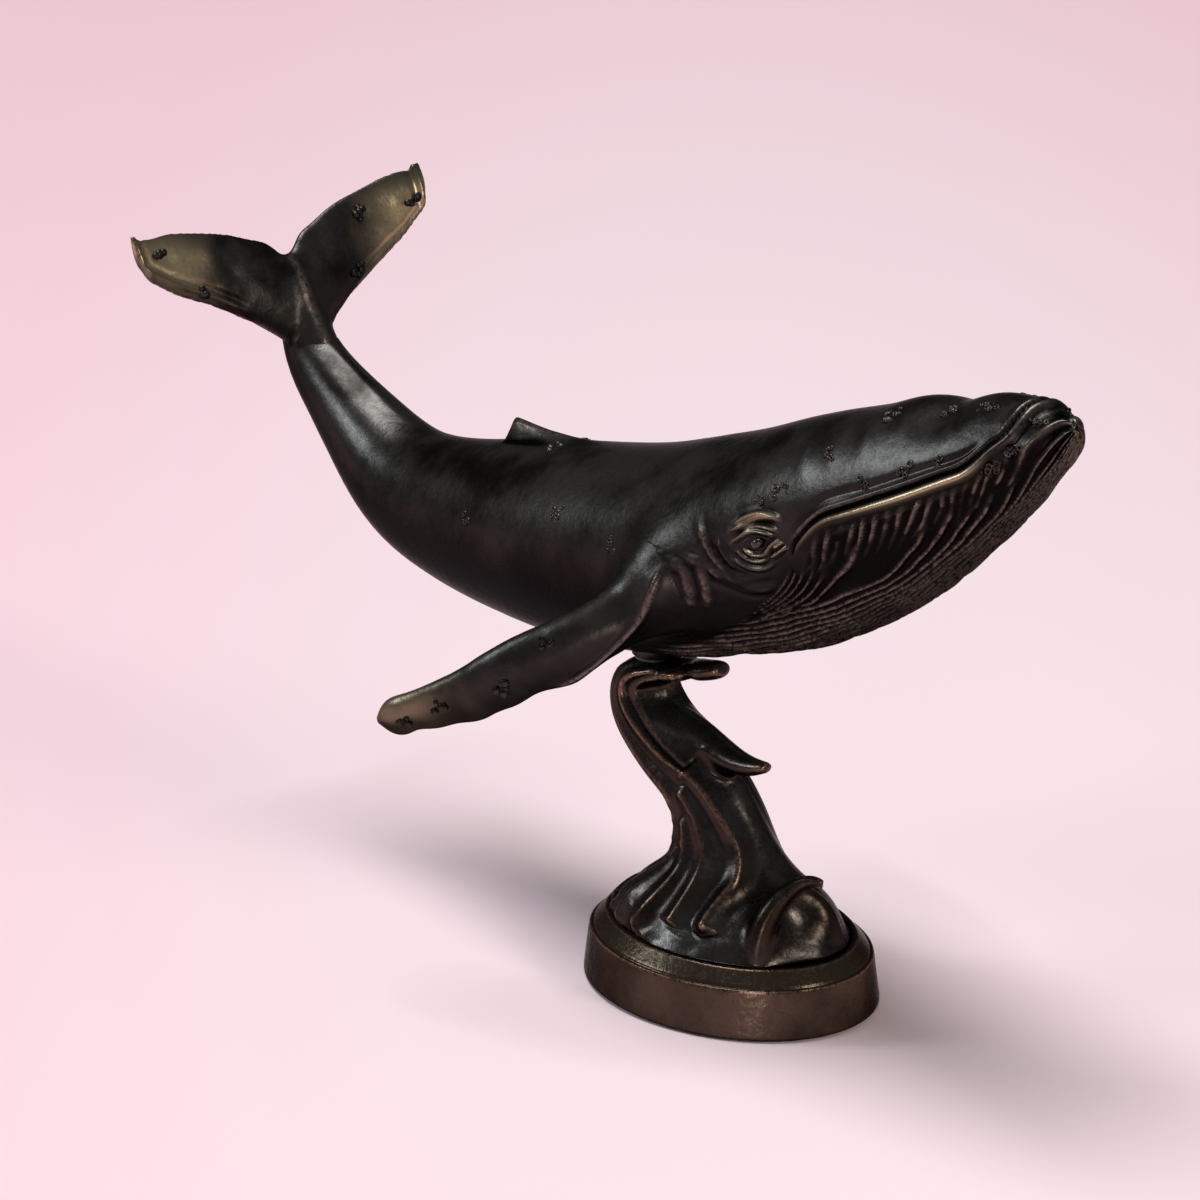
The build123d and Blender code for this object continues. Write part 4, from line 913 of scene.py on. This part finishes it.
# Swivel boss
# A short collar of bronze under the belly, cast with the body, turned and bored for the brass bush
# that sits in it.
BOSS_FOOT_Z = 79.8 * MM
# Radius and height above its foot, from the top of the bore round the foot to the inside of the belly.
BOSS_PROFILE = np.array([(4.05, 14.0), (4.05, 0.0), (5.75, 0.0), (6.05, 0.3), (6.05, 9.0)]) * MM


def turned_grid(profile, centre, count=64):
    """A profile of radius and height turned round an upright axis."""
    turn = np.linspace(0.0, 2.0 * np.pi, count, endpoint=False)
    ring = np.stack([np.cos(turn), np.sin(turn), np.zeros(count)], axis=-1)
    return np.array(centre) + profile[:, :1, None] * ring + profile[:, 1:, None] * np.array([0.0, 0.0, 1.0])


boss_mesh = cast_mesh("swivel_boss", [turned_grid(BOSS_PROFILE, (PIN_X, 0.0, BOSS_FOOT_Z))])
weather(boss_mesh, np.zeros(len(boss_mesh.vertices)), 0.0, 0.0)
bronze_piece("swivel_boss", boss_mesh, whale_bronze, "whale", "whale_bronze")


# Tail flukes
# A bronze casting of the end of the tail stock with both flukes, doweled to the body. Its outer
# halves are brushed with gold.
FLUKE_HALF_SPAN = 47.5 * MM
FLUKE_CHORD = 40.0 * MM
FLUKE_HALF_THICK = 3.5 * MM
FLUKE_ORIGIN = np.array([-177.4, -1.5, 150.9]) * MM
FLUKE_LEAN = np.radians(24.0)
FLUKE_ROLL = np.radians(2.5)
FLUKE_VOXEL = 0.40 * MM
# From the notch to the tip: place along the half span, leading and trailing edge as shares of
# the chord, thickness as a share of the largest.
FLUKE_SECTIONS = np.array([
    (0.000, -0.600, 0.000, 1.00), (0.105, -0.590, 0.100, 1.00), (0.190, -0.512, 0.155, 0.95),
    (0.295, -0.410, 0.210, 0.85),
    (0.442, -0.300, 0.265, 0.70), (0.632, -0.170, 0.315, 0.52), (0.800, -0.070, 0.340, 0.42),
    (0.920, 0.025, 0.350, 0.38),
    (0.972, 0.095, 0.368, 0.35), (1.000, 0.190, 0.378, 0.30),
])
fluke_up = np.array([-np.sin(FLUKE_LEAN), 0.0, np.cos(FLUKE_LEAN)])
fluke_span = np.array([0.0, np.cos(FLUKE_ROLL), np.sin(FLUKE_ROLL)])
fluke_front = np.cross(fluke_span, fluke_up)
fluke_halves = np.concatenate([FLUKE_SECTIONS[:0:-1] * np.array([-1.0, 1.0, 1.0, 1.0]), FLUKE_SECTIONS])


def fluke_point(share, turn):
    """Point on the flukes: chord from lead to trail at a share of the half span, lens-shaped across it."""
    lead, trail, thick = smooth_curve(fluke_halves[:, 0], fluke_halves[:, 1:], share).T
    up = (lead + trail) / 2 + (trail - lead) / 2 * np.cos(turn)
    bulge = thick * FLUKE_HALF_THICK * np.sin(turn) * np.abs(np.sin(turn)) ** 0.35
    bow = 2.6 * MM * share**2
    return (
        FLUKE_ORIGIN + share[:, None] * FLUKE_HALF_SPAN * fluke_span
        + up[:, None] * FLUKE_CHORD * fluke_up + (bulge + bow)[:, None] * fluke_front
    )


stock_places = np.linspace(0.5, 22.5, 60)
stock_skin = grid_of(body_point, stock_places * MM, np.linspace(0, 2 * np.pi, 72, endpoint=False))
stock_middle = stock_skin.mean(axis=1, keepdims=True)
stock_tuck = 1.0 - 0.04 * ramp(stock_places, 20.2, 21.2)[:, None, None]
fluke_shells = [
    grid_of(fluke_point, np.linspace(-0.998, 0.998, 220), np.linspace(0, 2 * np.pi, 96, endpoint=False)),
    stock_middle + (stock_skin - stock_middle) * stock_tuck,
]
fluke_mesh = fuse(cast_mesh("tail_fluke_casting", fluke_shells), FLUKE_VOXEL, 3)
fill_corners(fluke_mesh, 14)
fluke_points, fluke_normals = points_of(fluke_mesh)
from_origin = fluke_points - FLUKE_ORIGIN
span_share = np.abs(from_origin @ fluke_span) / FLUKE_HALF_SPAN
chord_share = from_origin @ fluke_up / FLUKE_CHORD
lead_at, trail_at = smooth_curve(FLUKE_SECTIONS[:, 0], FLUKE_SECTIONS[:, 1:3], np.minimum(span_share, 1.0)).T
chord_at = np.maximum(trail_at - lead_at, 0.05)
across = (chord_share - lead_at) / chord_at
fluke_lift = 0.25 * mottle(fluke_points, 9 * MM, 41) + 0.10 * mottle(fluke_points, 3 * MM, 42)
fluke_lift += 1.3 * bell(span_share, 0.06) * ramp(chord_share, -0.85, -0.55) * ramp(chord_share, 0.05, -0.1)
fluke_lift -= 0.5 * bell(across - 0.5, 0.25) * ramp(span_share, 0.25, 0.45) * ramp(span_share, 0.98, 0.85)
fluke_rim = np.minimum(across * chord_at * FLUKE_CHORD, (1.0 - span_share) * FLUKE_HALF_SPAN) / MM
outer = ramp(span_share, 0.30, 0.50)
fluke_lift += outer * (0.45 * bell(fluke_rim - 1.6, 0.8) - 0.35 * bell(fluke_rim - 3.6, 1.0))
fluke_lift *= ramp(-from_origin[:, 2], 28 * MM, 20 * MM)
set_points(fluke_mesh, fluke_points + fluke_normals * (fluke_lift * MM)[:, None])
fluke_gilt = 0.95 * ramp(span_share + 0.08 * mottle(fluke_points, 6 * MM, 43), 0.42, 0.74)
fluke_gilt *= bell(across - 0.45, 0.42)
fluke_stand = proud_of(fluke_mesh, 10) / (0.30 * MM) * ramp(-from_origin[:, 2], 24 * MM, 18 * MM)
# Copper along the keel where the flukes meet the stock: partly wear on a proud ridge, partly a painted
# highlight of the keel.
keel_rub_and_highlight = bell(span_share, 0.035) * ramp(chord_share, -0.85, -0.60) * ramp(chord_share, 0.05, -0.05)
fluke_stand = np.maximum(fluke_stand, keel_rub_and_highlight)
weather(fluke_mesh, fluke_stand, fluke_gilt, 0.0)
bronze_piece("tail_fluke_casting", fluke_mesh, whale_bronze, "whale", "fluke_bronze", "tail_flukes")


# Flippers
# Two solid bronze castings set on steel dowels in the shoulders: long blades with a sharp leading
# edge that turns knobbly towards the gilded tip. The left one mirrors the right one. The shoulders
# swell to meet the roots.
FLIPPER_LENGTH = 88.3 * MM
FLIPPER_HALF_CHORD = 7.75 * MM
FLIPPER_HALF_THICK = 6.0 * MM
FLIPPER_ROOT = np.array([5.6, -22.1, 112.4]) * MM
FLIPPER_CHORD_LINE = np.array([0.475, 0.098, -0.873])
# Middle line: back, out and down as shares of the length, chord and thickness of their largest.
FLIPPER_SECTIONS = np.array([
    (-0.075, -0.085, -0.074, 1.05, 0.70), (0.000, 0.000, 0.000, 1.20, 0.98),
    (0.055, 0.068, 0.054, 1.06, 0.92), (0.118, 0.159, 0.117, 0.92, 0.80),
    (0.194, 0.238, 0.183, 0.95, 0.68), (0.284, 0.306, 0.248, 0.98, 0.58), (0.451, 0.385, 0.364, 0.86, 0.49),
    (0.649, 0.442, 0.459, 0.64, 0.39), (0.732, 0.459, 0.496, 0.38, 0.27), (0.753, 0.464, 0.505, 0.15, 0.10),
])
flipper_run = np.linalg.norm(np.diff(FLIPPER_SECTIONS[:, :3], axis=0), axis=1)
flipper_knots = np.concatenate([[0.0], np.cumsum(flipper_run)]) / flipper_run.sum()


def flipper_point(share, turn):
    """Point on the right flipper: middle line, chord by cos and thickness by sin of the turn.

    The section is drawn to an edge in front, and the front edge swells in knobs towards the tip.
    """
    back, out, down, chord, thick = smooth_curve(flipper_knots, FLIPPER_SECTIONS, share).T
    middle = FLIPPER_ROOT - np.stack([back, out, down], axis=-1) * FLIPPER_LENGTH
    ahead = smooth_curve(flipper_knots, FLIPPER_SECTIONS[:, :3], np.minimum(share + 0.01, 1.0))
    behind = smooth_curve(flipper_knots, FLIPPER_SECTIONS[:, :3], np.maximum(share - 0.01, 0.0))
    along = unit(-(ahead - behind))
    forward = unit(FLIPPER_CHORD_LINE - along * (along @ FLIPPER_CHORD_LINE)[:, None])
    over = np.cross(along, forward)
    front = np.maximum(np.cos(turn), 0.0)
    knobs = 0.16 * MM * np.sin(share * 55.0) * ramp(share, 0.40, 0.6) * front**3
    flare = ramp(share, 0.32, 0.16) ** 2
    reach = (1.0 + 0.25 * flare * (np.cos(turn) < 0)) * chord * FLIPPER_HALF_CHORD * np.cos(turn) + knobs
    bulge = (1.0 + 0.35 * flare) * thick * FLIPPER_HALF_THICK * np.sin(turn) * (1.0 - 0.55 * front**2)
    return middle + reach[:, None] * forward + bulge[:, None] * over


# Crisp edge from the shoulder down to the front edge: share of the length and turn in degrees. Then
# how far body and root swell towards each other, and the share of the length that the root takes.
FLIPPER_EDGE = [(0.09, 118), (0.14, 104), (0.20, 84), (0.27, 60), (0.34, 38), (0.42, 20), (0.52, 8)]
FILLET = 11.0 * MM
ROOT_END = 0.42


def fillet(points, others):
    """How far a skin swells where another is near: fillet / 4 * (1 - distance / fillet) squared."""
    blocks = np.array_split(points, len(points) // 400 + 1)
    squares = [((block[:, None] - others) ** 2).sum(axis=-1).min(axis=1) for block in blocks]
    gap = np.sqrt(np.concatenate(squares))
    return FILLET / 4 * np.maximum(1.0 - gap / FILLET, 0.0) ** 2


flipper_shares = 0.999 * np.sin(np.linspace(0.0, np.pi / 2, 190))
flipper_turns = np.linspace(0, 2 * np.pi, 150, endpoint=False)
flipper_skin = grid_of(flipper_point, flipper_shares, flipper_turns)
flipper_share_of = np.append(np.repeat(flipper_shares, len(flipper_turns)), [0.0, 1.0])
flipper_turn_of = np.append(np.tile(flipper_turns, len(flipper_shares)), [0.0, 0.0])
flipper_root_skin = flipper_skin[flipper_shares < ROOT_END].reshape(-1, 3)
as_right_body = np.concatenate([body_points, ends])
as_right_body[:, 1] = -np.abs(as_right_body[:, 1])
by_root = np.flatnonzero(np.linalg.norm(as_right_body - flipper_root_skin.mean(axis=0), axis=1) < 42 * MM)
swelling = np.zeros(len(as_right_body))
swelling[by_root] = fillet(as_right_body[by_root], flipper_root_skin[::3])
final_body, final_normals = points_of(body_mesh)
set_points(body_mesh, final_body + final_normals * swelling[:, None])
flipper_edge_line = drawn(flipper_point, FLIPPER_EDGE)
for flipper_name, flipper_node, mirror in (
    ("right_flipper_casting", "right_flipper", 1.0), ("left_flipper_casting", "left_flipper", -1.0),
):
    flipper_mesh = cast_mesh(flipper_name, [flipper_skin * np.array([1.0, mirror, 1.0])])
    flipper_points, flipper_normals = points_of(flipper_mesh)
    as_right = flipper_points * np.array([1.0, mirror, 1.0])
    flipper_lift = 0.22 * mottle(as_right, 9 * MM, 51) + 0.10 * mottle(as_right, 3.2 * MM, 52)
    edge_gap, edge_along = off_line(as_right, flipper_edge_line)
    edge_shown = ramp(edge_along, 0.0, 0.15) * ramp(edge_along, 1.0, 0.8)
    flipper_lift += edge_shown * (1.1 * bell(edge_gap / MM, 0.9) + 0.9 * bell(edge_gap / MM, 3.2))
    at_root = flipper_share_of < ROOT_END
    root_swelling = np.zeros(len(flipper_points))
    root_swelling[at_root] = fillet(as_right[at_root], as_right_body[by_root][::2])
    flipper_lift += root_swelling / MM
    set_points(flipper_mesh, flipper_points + flipper_normals * (flipper_lift * MM)[:, None])
    flipper_gilt = 0.325 * ramp(flipper_share_of + 0.06 * mottle(as_right, 6 * MM, 53), 0.66, 0.88)
    # Painted shade: the flipper painted darker as it looks down.
    flipper_painted_shade = 0.5 * ramp(flipper_normals[:, 2], 0.0, -0.6)
    from_front = np.angle(np.exp(1j * flipper_turn_of))
    flipper_edge = 0.9 * bell(from_front, 0.10) * ramp(flipper_share_of, 0.08, 0.2)
    flipper_edge = np.maximum(flipper_edge, edge_shown * bell(edge_gap / MM, 0.7))
    weather(flipper_mesh, flipper_edge, flipper_gilt, flipper_painted_shade)
    bronze_piece(flipper_name, flipper_mesh, whale_bronze, "whale", "flipper_bronze", flipper_node)


# Eyes
# Two small almonds of black glass, ground smooth and let into the sockets. Their half sizes are
# given along the body, up and out.
EYE_HALF_SIZES = np.array([2.1, 1.45, 1.7]) * MM
EYE_TILT = np.radians(30.0)
EYE_BLACK = (0.004, 0.004, 0.004)
EYE_BROWN = (0.020, 0.014, 0.010)
eye_glass, eye_tree, eye_shader = new_finish("eye_glass")
eye_colour = tinted(eye_tree, grain(eye_tree, 1.0 * MM), EYE_BLACK, EYE_BROWN)
eye_tree.links.new(eye_colour, eye_shader.inputs["Base Color"])
eye_shader.inputs["Roughness"].default_value = 0.16
eye_axes = np.array([
    (np.cos(EYE_TILT), 0.0, np.sin(EYE_TILT)), (-np.sin(EYE_TILT), 0.0, np.cos(EYE_TILT)), (0.0, 1.0, 0.0),
])
for eye_name, eye_node in (("right_eye_bead", "right_eye"), ("left_eye_bead", "left_eye")):
    eye_low, eye_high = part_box(eye_node)
    eye_mesh = cast_mesh(eye_name, [ball_grid(np.array(eye_low + eye_high) / 2, EYE_HALF_SIZES, eye_axes)])
    bronze_piece(eye_name, eye_mesh, eye_glass, "whale", "eye_glass", eye_node)


# Barnacles
# Small cast rings with a pit in the middle, in clusters on the head, the flank, the flukes and the
# flippers, as on an old whale. They are cast in one with the skin under them.
# Radius and height of a ring as shares of its size, from its foot over the rim into the pit, and how
# rubbed or hollow each step is.
BARNACLE_PROFILE = np.array([
    (1.05, -0.50), (0.95, 0.10), (0.72, 0.42), (0.52, 0.38), (0.34, -0.05), (0.10, -0.12),
])
BARNACLE_STAND = (-0.2, 0.2, 0.55, 0.45, -0.6, -0.9)
BARNACLE_SIDES = 9
BARNACLE_SIZES = (0.55, 1.15)
# Clusters as (place in mm, angle, how many, reach in mm).
BODY_BARNACLES = [
    (281, 61, 9, 3.2), (297, 64, 8, 3.0), (310, 57, 9, 2.8), (275, 14, 7, 2.4), (288, 14.5, 6, 2.2),
    (298, 11, 6, 2.2),
    (249, 24, 7, 2.6), (241, 22.5, 5, 2.0), (214, 12, 7, 2.6), (184, 12, 6, 2.4), (137, 80, 6, 2.4),
    (324, 38, 6, 1.8),
    (317.6, -4, 9, 2.6), (311, -16, 7, 2.4), (265, 38, 6, 2.8), (160, 30, 6, 3.0), (120, 20, 5, 2.6),
]
# Clusters as (share of the half span or of the length, turn round the blade, how many, reach in mm).
FLUKE_BARNACLES = [
    (0.52, 1.10, 7, 2.4), (0.88, 1.80, 6, 2.0), (0.42, 2.30, 7, 2.2), (-0.84, 1.30, 7, 2.2),
    (-0.62, 2.35, 6, 2.2),
]
FLIPPER_BARNACLES = [(0.45, 1.9, 5, 1.8), (0.60, 1.2, 6, 2.0), (0.78, 1.5, 7, 2.0), (0.90, 1.2, 6, 1.8)]


def barnacle_grids(surface, clusters, steps, seed):
    """Rings turned about the skin's normal at places scattered round each cluster's middle.

    Steps are how far each parameter of the surface moves per metre.
    """
    chance = np.random.default_rng(seed)
    grids = []
    for first, second, count, reach in clusters:
        turn = chance.uniform(0.0, 2.0 * np.pi, count)
        away = reach * MM * np.sqrt(chance.uniform(0.0, 1.0, count))
        size = chance.uniform(*BARNACLE_SIZES, count) * MM
        a = first + steps[0] * away * np.cos(turn)
        b = second + steps[1] * away * np.sin(turn)
        base = surface(a, b)
        one = unit(surface(a + steps[0] * 0.2 * MM, b) - base)
        out = unit(np.cross(one, surface(a, b + steps[1] * 0.2 * MM) - base))
        other = np.cross(out, one)
        ring = np.linspace(0.0, 2.0 * np.pi, BARNACLE_SIDES, endpoint=False)[:, None]
        for i in range(count):
            around = np.cos(ring) * one[i] + np.sin(ring) * other[i]
            wall = BARNACLE_PROFILE[:, :1, None] * around + BARNACLE_PROFILE[:, 1:, None] * out[i]
            grids.append(base[i] + size[i] * wall)
    return grids


def lifted_skin(place, angle):
    """Point on the finished body at a place in mm and an angle in degrees, with the nearest relief."""
    base = on_body(place, np.radians(angle))
    near = [np.abs(body_points - point).sum(axis=1).argmin() for point in base]
    return base + skin_normals[near] * (lift[near] * MM)[:, None]


body_rings = barnacle_grids(lifted_skin, BODY_BARNACLES, (1.0 / MM, np.degrees(1.0 / BODY_HALF)), 61)
fluke_rings = barnacle_grids(fluke_point, FLUKE_BARNACLES, (1.0 / FLUKE_HALF_SPAN, 3.0 / FLUKE_CHORD), 62)
flipper_steps = (1.0 / FLIPPER_LENGTH, 1.0 / FLIPPER_HALF_CHORD)
flipper_rings = barnacle_grids(flipper_point, FLIPPER_BARNACLES, flipper_steps, 63)
mirrored = np.array([1.0, -1.0, 1.0])
for barnacle_name, rings, barnacle_slot in (
    ("body_barnacles", body_rings + [grid * mirrored for grid in body_rings], "whale_bronze"),
    ("fluke_barnacles", fluke_rings, "fluke_bronze"),
    ("flipper_barnacles", flipper_rings + [grid * mirrored for grid in flipper_rings], "flipper_bronze"),
):
    barnacle_mesh = cast_mesh(barnacle_name, rings)
    on_ring = np.append(np.repeat(BARNACLE_STAND, BARNACLE_SIDES), [0.0, BARNACLE_STAND[-1]])
    weather(barnacle_mesh, np.tile(on_ring, len(rings)), 0.0, 0.0)
    bronze_piece(barnacle_name, barnacle_mesh, whale_bronze, "whale", barnacle_slot)


# Floor, light and camera
# A plain floor, pale in the middle and pink further out, two soft boxes, a low fill and a wide
# light overhead, and the camera at the photograph's angle.
FLOOR_TURN = np.radians(50.0)
# The pale middle of the floor is a painted pool of light round the figure; further out the floor is pink.
FLOOR_LIGHT_POOL = (0.98, 0.81, 0.86)
FLOOR_PINK = (0.98, 0.675, 0.755)
FLOOR_REACH = np.array([0.26, 1.10])
FLOOR_MIDDLE = np.array([-0.10, 0.12, 0.0])
floor_mesh = bpy.data.meshes.new("floor")
floor_mesh.from_pydata([(-6, -6, 0), (6, -6, 0), (6, 6, 0), (-6, 6, 0)], [], [(0, 1, 2, 3)])
floor = bpy.data.objects.new("floor", floor_mesh)
bpy.context.scene.collection.objects.link(floor)
floor_paint, floor_tree, floor_shader = new_finish("floor_paint")
floor_place = floor_tree.nodes.new("ShaderNodeTexCoord")
floor_turned = floor_tree.nodes.new("ShaderNodeMapping")
floor_turned.vector_type = "TEXTURE"
floor_turned.inputs["Location"].default_value = FLOOR_MIDDLE
floor_turned.inputs["Rotation"].default_value = (0.0, 0.0, FLOOR_TURN)
floor_turned.inputs["Scale"].default_value = (*FLOOR_REACH, 1.0)
floor_away = floor_tree.nodes.new("ShaderNodeVectorMath")
floor_away.operation = "LENGTH"
floor_tree.links.new(floor_place.outputs["Object"], floor_turned.inputs["Vector"])
floor_tree.links.new(floor_turned.outputs["Vector"], floor_away.inputs[0])
# Painted pool of light: the colour goes from pale in the middle to pink further out.
floor_share = eased(floor_tree, floor_away.outputs["Value"], 0.2, 1.3)
floor_colour = tinted(floor_tree, floor_share, FLOOR_LIGHT_POOL, FLOOR_PINK)
floor_tree.links.new(floor_colour, floor_shader.inputs["Base Color"])
floor_shader.inputs["Roughness"].default_value = 0.9
floor_shader.inputs["Specular IOR Level"].default_value = 0.1
floor_mesh.materials.append(floor_paint)

CAMERA_AZIMUTH = np.radians(50.0)
CAMERA_ELEVATION = np.radians(19.0)
CAMERA_DISTANCE = 1.5
CAMERA_ASIDE = -32.625 * MM
CAMERA_UP = 95.875 * MM
LIGHTS = [
    ("soft_box_left", (-0.95, -0.90, 0.70), 0.35, 4.9, (0.86, 0.94, 1.0)),
    ("soft_box_right", (1.30, 0.10, 0.70), 0.35, 6.2, (1.0, 0.90, 0.80)),
    ("low_front", (0.78, -1.00, 0.13), 0.24, 2.2, (1.0, 0.92, 0.86)),
]
SUN_FROM = np.array([-0.22, -0.10, 1.0])
SUN_STRENGTH = 2.0
SUN_SPREAD = np.radians(28.0)
LIT_PLACE = np.array([-0.03, 0.0, 0.10])
WORLD_COLOUR = (0.95, 0.93, 0.94, 1.0)
WORLD_STRENGTH = 0.16
view_right = np.array([np.cos(CAMERA_AZIMUTH), np.sin(CAMERA_AZIMUTH), 0.0])
view_back = np.array([
    np.sin(CAMERA_AZIMUTH) * np.cos(CAMERA_ELEVATION),
    -np.cos(CAMERA_AZIMUTH) * np.cos(CAMERA_ELEVATION),
    np.sin(CAMERA_ELEVATION),
])
view_up = np.cross(view_back, view_right)


def aimed(name, data, place, right, up, back):
    """An object at a place, with its x, y and z axes along three directions."""
    thing = bpy.data.objects.new(name, data)
    bpy.context.scene.collection.objects.link(thing)
    matrix = np.eye(4)
    matrix[:3, :3] = np.stack([right, up, back], axis=1)
    matrix[:3, 3] = place
    thing.matrix_world = Matrix(matrix.tolist())
    return thing


camera_data = bpy.data.cameras.new("camera")
camera_data.lens = 180.0
camera_data.sensor_width = 36.0
camera_data.clip_end = 20.0
camera_place = CAMERA_ASIDE * view_right + CAMERA_UP * view_up + CAMERA_DISTANCE * view_back
bpy.context.scene.camera = aimed("camera", camera_data, camera_place, view_right, view_up, view_back)
for light_name, light_place, light_size, light_power, light_colour in LIGHTS:
    light_data = bpy.data.lights.new(light_name, "AREA")
    light_data.shape = "SQUARE"
    light_data.size = light_size
    light_data.energy = light_power
    light_data.color = light_colour
    light_back = unit(np.array(light_place) - LIT_PLACE)
    light_right = unit(np.cross([0.0, 1.0, 0.001], light_back))
    aimed(light_name, light_data, light_place, light_right, np.cross(light_back, light_right), light_back)
sun_data = bpy.data.lights.new("overhead", "SUN")
sun_data.energy = SUN_STRENGTH
sun_data.angle = SUN_SPREAD
sun_back = unit(SUN_FROM)
sun_right = unit(np.cross([0.0, 1.0, 0.0], sun_back))
aimed("overhead", sun_data, 2.0 * sun_back, sun_right, np.cross(sun_back, sun_right), sun_back)
world = bpy.data.worlds.new("studio")
world.use_nodes = True
world.node_tree.nodes["Background"].inputs["Color"].default_value = WORLD_COLOUR
world.node_tree.nodes["Background"].inputs["Strength"].default_value = WORLD_STRENGTH
bpy.context.scene.world = world
bpy.context.scene.view_settings.view_transform = "Standard"
